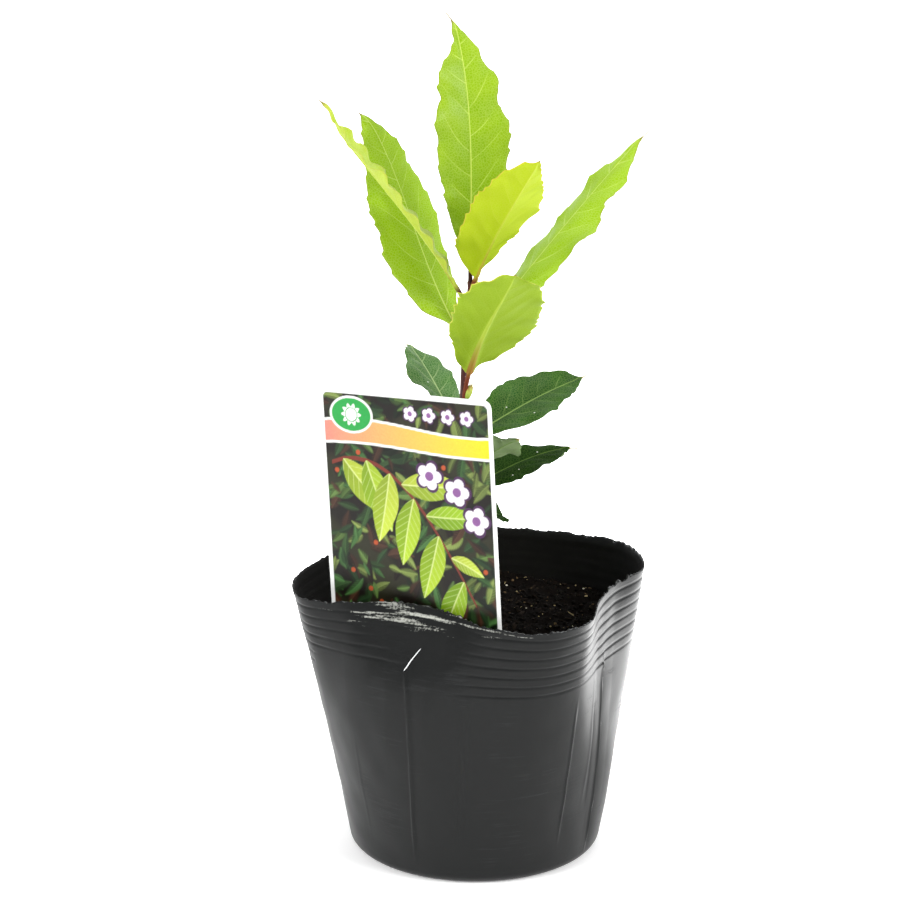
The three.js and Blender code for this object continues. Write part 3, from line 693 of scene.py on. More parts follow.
def studio_paper(settings):
    """Seamless paper that glows as a light of its own: matt white, faintly fibrous, and glowing,
    so that shadows on it stay faint."""
    material, tree = start_material("glowing_studio_paper")
    place = add_node(tree, "TexCoord").outputs["Object"]
    fibre = add_node(tree, "TexNoise", place, per_metre(1.5), 3.0)
    shade = add_node(tree, "MapRange", fibre, 0.3, 0.7, 0.0, 1.0)
    colour = add_node(tree, "Mix", shade, (*settings.paper, 1), linear("#FBFBFB"),
                      data_type="RGBA")
    right, back, _ = add_node(tree, "SeparateXYZ", place).outputs
    # Further off it looks pure white, and whiter than the light that it gives.
    pure_white = 1.1
    seen = add_node(tree, "LightPath").outputs["Is Camera Ray"]
    far_glow = add_node(tree, "MapRange", seen, 0.0, 1.0, settings.wall_glow, pure_white)
    away = add_node(tree, "VectorMath", place, (0, -0.35, 0), operation="DISTANCE")
    glow = add_node(tree, "MapRange", away.outputs["Value"], 0.4, 0.85, settings.floor_glow,
                    far_glow, interpolation_type="SMOOTHSTEP")
    # A brighter patch behind the pot and to its right shines in the wall.
    toward = add_node(tree, "Math", right, 0.6, back, operation="MULTIPLY_ADD")
    side_glow = add_node(tree, "MapRange", toward, 0.08, 0.15, 0.0, settings.side_glow,
                         interpolation_type="SMOOTHSTEP")
    from_pot = add_node(tree, "VectorMath", place, operation="LENGTH")
    near = add_node(tree, "MapRange", from_pot.outputs["Value"], 0.25, 0.4, 1.0, 0.0)
    whole_glow = add_node(tree, "Math", side_glow, near, glow, operation="MULTIPLY_ADD")
    shader = add_node(tree, "BsdfPrincipled", sockets={
        "Base Color": colour, "Roughness": 0.9, "Emission Color": (1, 1, 1, 1),
        "Emission Strength": whole_glow})
    add_node(tree, "OutputMaterial", shader)
    return material


# ---------------------------------------------------------------- pot

def rim_at(places):
    """The squeezed rim at shares of the way round: points, and the fade of the squeeze at each."""
    control = heading(RIM[:, 0], 0) * RIM[:, 1:2]
    control[:, 2] = RIM[:, 2]
    dense = np.linspace(0, len(RIM), 4001)
    curve = catmull(control, np.minimum(dense, len(RIM) - 1e-9), True)
    length = np.concatenate([[0], np.cumsum(np.linalg.norm(np.diff(curve, axis=0), axis=1))])
    spot = np.interp(places * length[-1], length, dense) % len(RIM)
    before = np.floor(spot).astype(int)
    after = (before + 1) % len(RIM)
    share = spot - before
    fade = RIM[before, 3] * (1 - share) + RIM[after, 3] * share
    return catmull(control, spot, True), fade


def round_bearings(places):
    """The bearing that each share of the way round has on the round pot."""
    return RIM[0, 0] + 360 * places


def wall_points(settings, places, heights, inset):
    """Points of the pot's wall: a row for each height, moved in by inset from its outside."""
    rim_height, rim_radius = settings.height / MM, settings.rim_radius / MM
    rim, fade = rim_at(places)
    outward = heading(round_bearings(places), 0)
    heights = np.asarray(heights, float)[:, None]
    t = heights / rim_height
    base_radius = settings.base_radius / MM
    cone = base_radius + (rim_radius - base_radius) * t - np.asarray(inset, float)
    foot = np.clip(FOOT_RADIUS - heights, 0, None)
    rounding = FOOT_RADIUS - np.sqrt(FOOT_RADIUS ** 2 - foot ** 2)
    squeezed = (rim - outward * rim_radius)[None] * (t ** fade)[..., None]
    points = outward[None] * (cone - rounding)[..., None] + squeezed
    points[..., 2] += heights
    return points, outward


def groove_relief(settings, heights, bearings):
    """How far the wall stands out at each height and bearing: bands bulge a little between the
    moulded grooves."""
    below = settings.height / MM - np.asarray(heights, float)[:, None] - GROOVES["first"]
    below = below / GROOVES["pitch"]
    wave = 0.5 - 0.5 * np.cos(TURN * below)
    lowest = GROOVES["count"] - FLARED[2] * np.exp(-((bearings - FLARED[0]) / FLARED[1]) ** 4)
    shown = smooth_step(0, 0.05, below) * smooth_step(lowest, lowest - 0.6, below)
    return 0.06 + shown * (GROOVES["depth"] * (0.08 * (1 - wave) - wave ** 6) - 0.06)


def crease_relief(bearings, heights, radius):
    """How far the creases push the wall out at each height and bearing."""
    total = np.zeros((len(heights), len(bearings)))
    for line, step, reach, ridge, ridge_width in CREASES:
        line = np.array(line)[::-1]
        at = np.interp(heights, line[:, 1], line[:, 0])[:, None]
        ends = (smooth_step(line[0, 1] - 4, line[0, 1] + 6, heights)
                * smooth_step(line[-1, 1] + 5, line[-1, 1] - 5, heights))[:, None]
        right = (bearings - at + 180) % 360 - 180
        right = np.radians(right) * radius
        away = np.clip(right, 0, None)
        fold = -np.exp(-away / reach) * (1 - np.exp(-away / 0.5))
        total += ends * (step * fold + ridge * np.exp(-(right / ridge_width) ** 2))
    return total


def pot_columns():
    """Shares of the way round at which the wall has points: closer on the creased front."""
    front = np.linspace(0, 0.55, 400, endpoint=False)
    back = np.linspace(0.55, 1, 160, endpoint=False)
    return np.concatenate([front, back])


def rim_trimming(ring, bearings):
    """How far the rough trimming stands up at each point of the rim: small waves, a nick here and
    there, and steps where it tore."""
    waves = 0.17 * unevenness(ring, 0.9, 8) + 0.14 * unevenness(ring, 4, 9)
    nicks = 0.9 * smooth_step(1.7, 2.0, unevenness(ring, 2.2, 10))
    at, reach, pitch = TEAR
    step = (bearings - at) / pitch
    torn = smooth_step(1, 0.8, np.abs(bearings - at) / reach)
    return waves - nicks + torn * (0.9 - 1.4 * (step - np.floor(step)))


def pot_wear_and_painted_light(height, bearings, outside, inside, caps):
    """Facts about the pot's skin: its pale trimmed rim, where it is rubbed and has painted
    highlight, and where shade is painted within. Outside and inside are the heights of the wall's
    rings, and caps is how many more rings cross the underside, and how many the floor."""
    shape = (caps + len(outside) + len(inside) + caps, len(bearings))
    rim, rubbed_and_glinting, painted_shade_within = np.zeros(shape), np.zeros(shape), np.zeros(shape)
    inner = caps + len(outside)
    rim[inner - 2:inner + 2] = [[0.35], [1], [1], [0.35]]
    # Thumbs and the card have rubbed the bulge below the rim, and flecked the lip above it. The
    # whitish streaks and flecks painted there are partly this wear and partly painted highlight.
    at, up, wide, high = RUBBED_AND_GLINTING
    bulge = (np.exp(-((outside[:, None] - up) / high) ** 2)
             * smooth_step(1.1, 0.8, np.abs(bearings - at) / wide))
    at, reach, share = FLECKED_LIP_GLINTS
    lip = (smooth_step(height - 4, height - 1, outside)[:, None]
           * smooth_step(1.2, 0.9, np.abs(bearings - at) / reach))
    rubbed_and_glinting[caps:inner] = np.maximum(bulge, share * lip)
    # Shade is painted over the inside, but for the top of the lip where it stands clear of the
    # soil.
    at, reach, depth = UNSHADED_LIP
    unshaded_lip = np.exp(-((bearings - at + 180) % 360 - 180) ** 2 / reach ** 2)
    below_lip = smooth_step(height - 0.5, height - depth, inside)[:, None]
    painted_shade_within[inner:] = 1
    painted_shade_within[inner:inner + len(inside)] = 1 - (1 - below_lip) * unshaded_lip
    return {"rim": rim.ravel(), "rubbed_and_glinting": rubbed_and_glinting.ravel(), "painted_shade_within": painted_shade_within.ravel()}


def pot_mesh(settings):
    """The pot as one closed skin: outside, ragged rim, inside and floor."""
    height, wall, floor = settings.height / MM, settings.wall / MM, settings.floor / MM
    places = pot_columns()
    bearings = round_bearings(places)
    plain_top = height - GROOVES["first"] - (GROOVES["count"] + 0.1) * GROOVES["pitch"]
    outside = np.concatenate([
        FOOT_RADIUS * (1 - np.cos(np.linspace(0, math.pi / 2, 6, endpoint=False))),
        np.linspace(FOOT_RADIUS, plain_top, 24, endpoint=False),
        np.linspace(plain_top, height, 92),
    ])
    inside = np.concatenate([
        np.linspace(height, plain_top, 28), np.linspace(plain_top, floor, 7)[1:]])
    wander = unevenness(heading(bearings, 0) * settings.rim_radius / MM, 14, 4)
    groove_size = 0.85 + 0.2 * wander
    for at, reach, share in PRESSED:
        groove_size = groove_size * (1 - share * np.exp(-((bearings - at) / reach) ** 2))
    halfway_radius = settings.base_radius / MM * 1.2

    def face(heights, inset, depth):
        points, outward = wall_points(settings, places, heights, inset)
        creases = crease_relief(bearings, heights, halfway_radius)
        relief = groove_relief(settings, heights, bearings) * groove_size * depth + creases
        relief = relief + 0.09 * unevenness(points, 17, 5) + 0.05 * unevenness(points, 6, 6)
        settled = smooth_step(0, 9, heights)[:, None]
        return points + outward[None] * (relief * settled)[..., None]

    # The wall thins towards the rim, and its grooves are shallower inside.
    thin = wall * (1 - 0.5 * smooth_step(height - 25, height, inside))[:, None]
    outer = face(outside, 0, 1)
    inner = face(inside, thin, 0.45)
    ragged = rim_trimming(outer[-1], bearings)
    outer[-1, :, 2] += ragged
    inner[0, :, 2] += ragged + 0.05

    def flat_rings(radii, level):
        return [heading(bearings, 0) * radius + (0, 0, level) for radius in radii]

    middle, floor_radius = 0.8, settings.base_radius / MM - wall - 0.6
    under_rings = flat_rings((middle, settings.base_radius / MM / 2), 0)
    floor_rings = flat_rings((floor_radius / 2, middle), floor + 0.1)
    rows = [*under_rings, *outer, *inner, *floor_rings]
    return (np.concatenate(rows), tube_faces(len(rows), len(places)),
            pot_wear_and_painted_light(height, bearings, outside, inside, caps=len(under_rings)))


def drill_base(piece):
    """Cuts the drain holes through the base."""
    cutter_mesh = bpy.data.meshes.new("drain_drill")
    shape = bmesh.new()
    for i in range(DRAIN["count"]):
        x, y, _ = heading(360 * i / DRAIN["count"], 0) * DRAIN["from_middle"] * MM
        bmesh.ops.create_cone(
            shape, cap_ends=True, segments=32, radius1=DRAIN["radius"] * MM,
            radius2=DRAIN["radius"] * MM, depth=8 * MM, matrix=Matrix.Translation((x, y, 0)))
    shape.to_mesh(cutter_mesh)
    shape.free()
    cutter = bpy.data.objects.new("drain_drill", cutter_mesh)
    bpy.context.scene.collection.objects.link(cutter)
    cut = piece.modifiers.new("drain", "BOOLEAN")
    cut.operation = "DIFFERENCE"
    cut.solver = "MANIFOLD"
    cut.object = cutter
    shaped = bpy.data.meshes.new_from_object(
        piece.evaluated_get(bpy.context.evaluated_depsgraph_get()))
    piece.modifiers.clear()
    shaped.materials.clear()
    piece.data = shaped
    bpy.data.objects.remove(cutter)


def stress_mark_mesh(settings):
    """A sliver that lies on the wall along its whitened crease."""
    line = np.array(STRESS_MARK)
    steps = 24
    t = np.linspace(0, 1, steps)
    bearings, heights = (np.interp(t, (0, 0.5, 1), line[:, i]) for i in (0, 1))
    rows = []
    for bearing, height, share in zip(bearings, heights, t):
        place = np.array([(bearing - RIM[0, 0]) / 360 % 1])
        (middle,), (outward,) = wall_points(settings, place, [height], 0)
        relief = groove_relief(settings, [height], np.array([bearing]))[0, 0]
        middle = middle[0] + outward * (relief * 0.5 + 0.3)  # just proud of the wall
        half = 0.4 * min(1, 0.3 + 9 * min(share, 1 - share))  # narrower at both ends
        across = np.array([-outward[1], outward[0], 0.6])
        across /= np.linalg.norm(across)
        rows += [middle - across * half, middle + outward * 0.16, middle + across * half,
                 middle - outward * 0.4]
    return np.array(rows), tube_faces(steps, 4)


# ---------------------------------------------------------------- soil

def soil_height(settings, x, y, share):
    """Height of the top of the soil. Share is 1 at the wall and 0 in the middle."""
    lump = 0.7 * np.sin(TURN * x / 19 + 1) * np.sin(TURN * y / 17 + x / 19)
    mound = settings.mound / MM * (1 - share * share)
    points = np.stack([x, y, 0 * x], -1)
    crumbs = 0.45 * unevenness(points, 3.4, 21, 40) + 0.3 * np.abs(unevenness(points, 1.5, 22, 40))
    return settings.level / MM + mound + lump * (1 - share) + crumbs


def soil_border(pot, level, columns, gap=0.35):
    """Where the soil meets the wall at a height, or stops a gap short of it."""
    (ring,), _ = wall_points(pot, np.arange(columns) / columns, [level], pot.wall / MM + gap)
    return ring


def soil_mesh(pot, settings):
    """The soil as one body, with a crumbly top."""
    columns, rings = 320, 84
    level, floor = settings.level / MM, pot.floor / MM + 0.3
    rows = []
    for height in np.linspace(floor, level - 2, 8):
        ring = soil_border(pot, height, columns, 1.8)
        ring[:, 2] = height
        rows.append(ring)
    border = soil_border(pot, level, columns)
    for share in np.linspace(1, 0.01, rings):
        ring = border * share
        ring[:, 2] = soil_height(settings, ring[:, 0], ring[:, 1], share)
        rows.append(ring)
    return np.concatenate(rows), tube_faces(len(rows), columns)


def lump_shape():
    """A twenty-sided lump: its corners and faces."""
    shape = bmesh.new()
    bmesh.ops.create_icosphere(shape, subdivisions=1, radius=1)
    corners = np.array([v.co[:] for v in shape.verts])
    faces = np.array([[v.index for v in f.verts] for f in shape.faces])
    shape.free()
    return corners, faces


# Share of the crumbs, largest radius, stretch, and colour of each kind.
CRUMB_KINDS = [
    (0.68, 0.75, 1.2, "#0C0A08"), (0.16, 0.85, 2.2, "#17110C"), (0.08, 0.55, 1.2, "#4A3C2A"),
    (0.04, 0.48, 1.1, "#8E8060"), (0.02, 0.45, 1.0, "#CFC9B8"), (0.02, 0.3, 7.0, "#A0906C"),
]


def crumbs_mesh(pot, settings):
    """Loose crumbs over the soil: peat, bark, sand, perlite and bits of root."""
    draw = np.random.default_rng(31)
    corners, lump_faces = lump_shape()
    border = soil_border(pot, settings.level / MM, 360)
    points, faces, colours = [], [], []
    shares = [kind[0] for kind in CRUMB_KINDS]
    for i in range(settings.crumbs):
        _, largest, stretch, code = CRUMB_KINDS[draw.choice(len(CRUMB_KINDS), p=shares)]
        share = math.sqrt(draw.uniform(0, 0.985))
        x, y, _ = border[draw.integers(360)] * share
        radius = largest * draw.uniform(0.3, 1) ** 1.5
        size = radius * draw.uniform(0.6, 1.2, 3) * (stretch, 1, 0.8)
        bumpy = corners * draw.uniform(0.75, 1.2, (len(corners), 1)) * size
        turn = np.array(Matrix.Rotation(draw.uniform(0, TURN), 3, "Z")
                        @ Matrix.Rotation(draw.uniform(-0.6, 0.6), 3, "Y"))
        height = soil_height(settings, np.array([x]), np.array([y]), share)[0]
        points.append(bumpy @ turn.T + (x, y, height + 0.3 * radius))
        faces.append(lump_faces + i * len(corners))
        shade = np.array(linear(code)) * draw.uniform(0.6, 1.4)
        colours.append(np.tile(shade, (len(corners), 1)))
    return np.concatenate(points), np.concatenate(faces).tolist(), {"grit": np.concatenate(colours)}


# ---------------------------------------------------------------- stem

def stem_at(heights):
    """Middles of the stem and its radius at heights."""
    heights = np.atleast_1d(np.asarray(heights, float))
    after = np.clip(np.searchsorted(STEM_RUN[:, 0], heights), 1, len(STEM_RUN) - 1)
    low, high = STEM_RUN[after - 1], STEM_RUN[after]
    t = (heights - low[:, 0]) / (high[:, 0] - low[:, 0])
    middles = catmull(STEM_RUN[:, [1, 2, 0]], np.clip(after - 1 + t, 0, len(STEM_RUN) - 1), False)
    return middles, low[:, 3] * (1 - t) + high[:, 3] * t


def stem_mesh():
    """The stem: a slightly knobbly rod, swollen where each leaf grows, with a rounded end."""
    sides = 28
    foot, top = STEM_RUN[0, 0], STEM_RUN[-1, 0]
    heights = np.linspace(foot, top, 420)
    middles, radii = stem_at(heights)
    for leaf in LEAVES:
        radii = radii * (1 + 0.16 * np.exp(-((heights - leaf.height) / 1.1) ** 2))
        scar = np.exp(-((heights - leaf.height + 1.6) / 0.35) ** 2)
        radii = radii * (1 - 0.07 * scar)
    radii = radii * np.sqrt(np.clip(1 - smooth_step(top - 0.9, top, heights) * 0.96, 0, 1))
    angles = TURN * np.arange(sides) / sides
    circle = np.stack([np.cos(angles), np.sin(angles), 0 * angles], -1)
    points = middles[:, None] + circle[None] * radii[:, None, None]
    # Young bark has shallow flutes that follow the stem.
    flutes = unevenness(points * (1, 1, 0.12), 1.1, 41)
    points = points + circle[None] * (0.05 * flutes * radii[:, None] / 1.4)[..., None]
    return points.reshape(-1, 3), tube_faces(len(heights), sides)


# ---------------------------------------------------------------- leaves

def rib_of(leaf, distances):
    """Points down the rib of a leaf from the middle of the stem, with the way that the upper face
    looks and the way to the right at each."""
    whole, steps = leaf.stalk + leaf.blade, 80

    def direction_at(distance):
        u = distance / whole
        bearing = leaf.bearing[0] * (1 - u) + leaf.bearing[1] * u
        start, middle, end = leaf.rise
        rise = start * (1 - u) * (1 - 2 * u) + 4 * middle * u * (1 - u) + end * u * (2 * u - 1)
        return bearing, rise

    halfway = (np.arange(steps) + 0.5) / steps * whole
    strides = heading(*direction_at(halfway)) * whole / steps
    (start,), _ = stem_at(leaf.height)
    track = np.vstack([start, start + np.cumsum(strides, 0)])
    at = distances / whole * steps
    points = np.stack([np.interp(at, np.arange(steps + 1), track[:, i]) for i in range(3)], -1)
    bearing, rise = direction_at(distances)
    along = heading(bearing, rise)
    face = heading(bearing, rise + 90)
    twist = leaf.twist * smooth_step(0.5, 0.85, distances / whole)
    roll = np.radians(leaf.roll + twist)[:, None]
    face = face * np.cos(roll) + np.cross(along, face) * np.sin(roll)
    return points, face, np.cross(face, along)


def edge_share(percents, u):
    """How far an edge is from the rib, as a share of the even outline, smoothly between steps."""
    steps = np.array(percents) / 100
    places = np.clip(u * len(steps) - 0.5, 0, len(steps) - 1)
    points = np.stack([np.arange(len(steps)), steps, 0 * steps], -1)
    return catmull(points, places, False)[:, 1]


def tooth_relief(leaf, u, seed):
    """How far the teeth of one edge stand out: sharp and leaning to the tip on a young leaf, round
    on an old one."""
    pitch, depth = leaf.teeth
    draw = np.random.default_rng(seed)
    s = u * leaf.blade
    warped = s / pitch + 0.35 * np.sin(s / pitch * 0.9 + draw.uniform(0, TURN)) + draw.uniform()
    tooth = np.floor(warped).astype(int)
    size = draw.uniform(0.35, 1, tooth.max() + 2)[tooth]
    saw = warped - tooth
    if leaf.kind in OLD_KINDS:
        shape = np.sin(math.pi * saw) ** 0.75
    else:
        shape = np.where(saw < 0.84, (saw / 0.84) ** 1.7, 1 - (saw - 0.84) / 0.16)
    fade = smooth_step(0.1, 0.25, u) * smooth_step(0.995, 0.93, u)
    return depth * size * shape * fade


def even_half_width(leaf, u):
    """Half the width of a leaf at shares of its blade, before its edges vary."""
    tip_power = BASE_POWER * (1 - leaf.belly) / leaf.belly
    green = np.clip(u / (1 - leaf.thread / leaf.blade), 0, 1)
    outline = ((green / leaf.belly) ** BASE_POWER * ((1 - green) / (1 - leaf.belly)) ** tip_power
               * (1 - green ** leaf.point))
    narrowest = STALK_RADIUS * (1 - 0.7 * smooth_step(0.5, 0.9, green))
    narrowest = narrowest * (1 - 0.35 * smooth_step(0.97, 1, u))
    return np.maximum(narrowest, leaf.width / 2 * outline)


def side_veins(leaf, along, distance, sign, seed):
    """Where points lie between two side veins, as a running count of veins, and the veins'
    spacing. Distance is from the rib, and sign tells its two sides apart."""
    pitch = 4.2 + leaf.blade * 0.062  # further apart on a long blade
    forward = VEIN_SLOPE[0] * distance + VEIN_SLOPE[1] * distance ** 2 / (leaf.width / 2)
    phase = (along - forward) / pitch + np.where(sign > 0, 0.42, 0)
    phase = phase + 0.16 * np.sin(along / pitch * 1.9 + sign + seed)
    return phase, pitch * math.cos(math.atan(VEIN_SLOPE[0]))


def leaf_thickness(leaf, distances, half, v, distance, share, flatness, veined):
    """How far a leaf's upper and lower skins are from its middle. The rib is a strong round ridge
    below, and a thin one in a shallow groove above. The stalk is round."""
    u = np.clip((distances - leaf.stalk) / leaf.blade, 0, 1)
    rib_size = np.interp(u, (0, 0.6, 1), (LEAF_LOOKS[leaf.kind].rib * 0.6, 0.2, 0.08))[:, None]
    rib_below = rib_size * 1.1 * np.exp(-(distance / (rib_size + 0.1)) ** 2)
    rib_above = (0.12 * np.exp(-(distance / 0.22) ** 2)
                 - 0.16 * np.exp(-(distance / (rib_size + 0.35)) ** 2))
    stalk_flare = 1 + 0.55 * np.exp(-distances / 1.3)[:, None]
    stalk = np.minimum(STALK_RADIUS, half)[:, None] * stalk_flare
    stalk = stalk * np.sqrt(np.clip(1 - v * v, 0.003, 1))
    skin = LEAF_THICKNESS / 2 * (1 - 0.45 * share ** 4)
    above = (1 - flatness) * stalk + flatness * (skin + rib_above - 0.05 * veined)
    below = (1 - flatness) * stalk + flatness * (skin + rib_below + 0.1 * veined)
    thin_tip = smooth_step(1.001, 0.9, u)[:, None] * 0.85 + 0.15
    return above * thin_tip, below * thin_tip


def leaf_mesh(leaf, seed):
    """A leaf with its stalk: a thin waved blade with toothed edges, raised veins and a round
    stalk, as one closed skin."""
    stalk_rows, blade_rows, half_columns = 14, 190, 20
    distances = np.concatenate([
        np.linspace(0, leaf.stalk, stalk_rows, endpoint=False),
        leaf.stalk + leaf.blade * np.linspace(0, 1, blade_rows)])
    points, face, side = rib_of(leaf, distances)
    u = np.clip((distances - leaf.stalk) / leaf.blade, 0, 1)
    points = points + side * (leaf.hook * smooth_step(0.86, 1.05, u) ** 2)[:, None]
    points = points + face * (leaf.curl * np.sin(math.pi * smooth_step(0.78, 1, u)))[:, None]

    # Across the leaf: v runs from -1 at the right edge to 1 at the left, closer at the rib.
    half = even_half_width(leaf, u)
    flatness = np.clip((half - STALK_RADIUS) / FLAT_FROM, 0, 1)[:, None]
    t = np.linspace(-1, 1, 2 * half_columns + 1)[None]
    sign = np.sign(t)
    v = (1 - flatness) * np.sin(t * math.pi / 2) + flatness * sign * np.abs(t) ** 1.45
    teeth = np.where(t < 0, tooth_relief(leaf, u, seed)[:, None],
                     tooth_relief(leaf, u, seed + 1)[:, None]) * flatness
    sides = np.stack([edge_share(leaf.right, u), edge_share(leaf.left, u)], -1)
    this_side = np.where(t < 0, sides[:, :1], sides[:, 1:])
    smooth_edge = half[:, None] * (1 + (this_side - 1) * flatness)
    across = v * (smooth_edge + teeth * np.abs(v) ** 3)
    distance = np.abs(across)
    share = distance / np.maximum(half[:, None], 0.1)
    along = (distances - leaf.stalk)[:, None]
    flat_place = np.stack([along + 0 * across, across], -1)

    vein_phase, spacing = side_veins(leaf, along, distance, sign, seed)
    off_vein = np.abs(vein_phase - np.round(vein_phase)) * spacing
    veined = np.exp(-(off_vein / 0.38) ** 2) * smooth_step(0.95, 0.5, share) * flatness

    # Out of its plane: the fold, the waves of its edges, bulges between the veins and a sway.
    slope = math.radians(leaf.fold) * flatness
    phase = TURN * leaf.waves * u[:, None] + np.where(t < 0, OTHER_EDGE_LATER, 0)
    wave = leaf.wave * np.sin(phase) * v * v * flatness
    quilt = (0.5 - 0.5 * np.cos(TURN * vein_phase)) * smooth_step(0.02, 0.3, share)
    quilt = quilt * smooth_step(1, 0.6, share) * flatness
    sway = 0.35 * unevenness(flat_place, 10, seed + 2) * share ** 2 * flatness
    lift = distance * np.sin(slope) + wave + 0.22 * quilt + sway
    middles = (points[:, None] + side[:, None] * (across * np.cos(slope))[..., None]
               + face[:, None] * lift[..., None])
    above, below = leaf_thickness(leaf, distances, half, v, distance, share, flatness, veined)
    upper = middles + face[:, None] * above[..., None]
    lower = middles - face[:, None] * below[..., None]

    rows, columns = across.shape
    count = rows * columns
    faces = [quad[::-1] for quad in grid_faces(rows, columns)]
    faces += grid_faces(rows, columns, first=count)
    for here, beyond in border_steps(rows, columns):
        faces.append([here, here + count, beyond + count, beyond])
    blade = np.concatenate([flat_place, (smooth_edge + teeth)[..., None]], -1).reshape(-1, 3)
    vein = np.stack([vein_phase, spacing + 0 * across], -1).reshape(-1, 2)
    facts = {
        "blade": np.concatenate([blade, blade]),
        "vein": np.concatenate([np.column_stack([vein, np.zeros(count)]),
                                np.column_stack([vein, np.ones(count)])]),
    }
    return np.concatenate([upper.reshape(-1, 3), lower.reshape(-1, 3)]), faces, facts


# ---------------------------------------------------------------- buds

def bud_mesh(height, bearing, rise, length, radius):
    """A bud: a slim core wrapped in pointed scales that overlap like tiles."""
    (middle,), (stem_radius,) = stem_at(height)
    axis = heading(bearing, rise)
    base = middle + heading(bearing, 0) * (stem_radius + radius * 0.6) - axis * 0.6
    east = np.cross(axis, (0, 0, 1))
    east /= np.linalg.norm(east)
    north = np.cross(axis, east)
    rows, columns = 26, 24
    u = np.linspace(0, 1, rows)
    profile = np.interp(u, (0, 0.12, 0.4, 0.7, 0.9, 1), (0.5, 0.85, 1, 0.7, 0.3, 0.03))
    points, faces, tips = [], [], []

    def add_shell(start, turn, spread, grow, reach):
        first = sum(len(p) for p in points)
        angles = turn + np.linspace(-spread, spread, columns)
        t = start + (reach - start) * u
        narrow = np.sin(math.pi * np.clip(1 - u, 0.02, 1) / 2) ** 0.6
        angle = turn + (angles[None] - turn) * narrow[:, None]
        size = radius * np.interp(t, u, profile)[:, None] * grow + 0.05
        shell = (base + axis * (t * length)[:, None, None]
                 + east * (np.cos(angle) * size)[..., None]
                 + north * (np.sin(angle) * size)[..., None])
        inner = shell - (shell - base - axis * (t * length)[:, None, None]) * 0.12
        points.append(np.concatenate([shell.reshape(-1, 3), inner.reshape(-1, 3)]))
        tips.append(np.tile(np.repeat(u, columns), 2))
        count = rows * columns
        faces.extend(grid_faces(rows, columns, first=first))
        faces.extend(quad[::-1] for quad in grid_faces(rows, columns, first=first + count))
        for here, beyond in border_steps(rows, columns):
            faces.append([first + i for i in (here, beyond, beyond + count, here + count)])

    for i in range(7):
        add_shell(0.02 + 0.05 * i, 2.4 * i, 1.5 - 0.08 * i, 1.12 - 0.06 * i, 0.62 + 0.06 * i)
    return np.concatenate(points), faces, {"toward_tip": np.concatenate(tips)}


# ---------------------------------------------------------------- plant label

def label_place(points):
    """Card points (across, up from the pot's underside, out of the printed face) in the frame.
    The card leans and turns about its middle, level with the soil."""
    level = bpy.context.scene.laurel_soil.level / MM
    x, y, z = (np.asarray(points, float)[:, i] for i in range(3))
    y = y - level
    lean, turn = math.radians(-LABEL_LEAN), math.radians(-LABEL_TURN)
    x, y = x * math.cos(lean) - y * math.sin(lean), x * math.sin(lean) + y * math.cos(lean)
    x, y, z = x, -z, y
    x, y = x * math.cos(turn) - y * math.sin(turn), x * math.sin(turn) + y * math.cos(turn)
    return np.stack([x + LABEL_MIDDLE[0], y + LABEL_MIDDLE[1], z + level], -1)


def card_outline(settings, grow=0.0, steps=10):
    """The card's outline, anticlockwise from its tip."""
    half, top = settings.width / MM / 2 + grow, settings.top / MM + grow
    corner = LABEL_CORNER + grow
    arc = np.linspace(0, math.pi / 2, steps)
    right = np.stack([half - corner + corner * np.cos(arc),
                      top - corner + corner * np.sin(arc)], -1)
    left = right[::-1] * (-1, 1)
    ends = [(0, settings.tip / MM), (half, settings.shoulder / MM)]
    return np.vstack([ends, right, left, [(-half, settings.shoulder / MM)]])


def card_mesh(settings):
    """The card, with its edges eased by the cutter."""
    half = settings.thickness / MM / 2
    ease = 0.12
    layers = [(-half, -ease), (-half + ease, 0), (half - ease, 0), (half, -ease)]
    outlines = [card_outline(settings, grow) for _, grow in layers]
    count = len(outlines[0])
    points = np.concatenate([
        np.column_stack([line, np.full(count, z)]) for line, (z, _) in zip(outlines, layers)])
    facts = {"reverse": np.repeat([1, 0, 0, 0], count)}
    return label_place(points), tube_faces(len(layers), count), facts


WHITE_INK = linear("#F6F6F2")


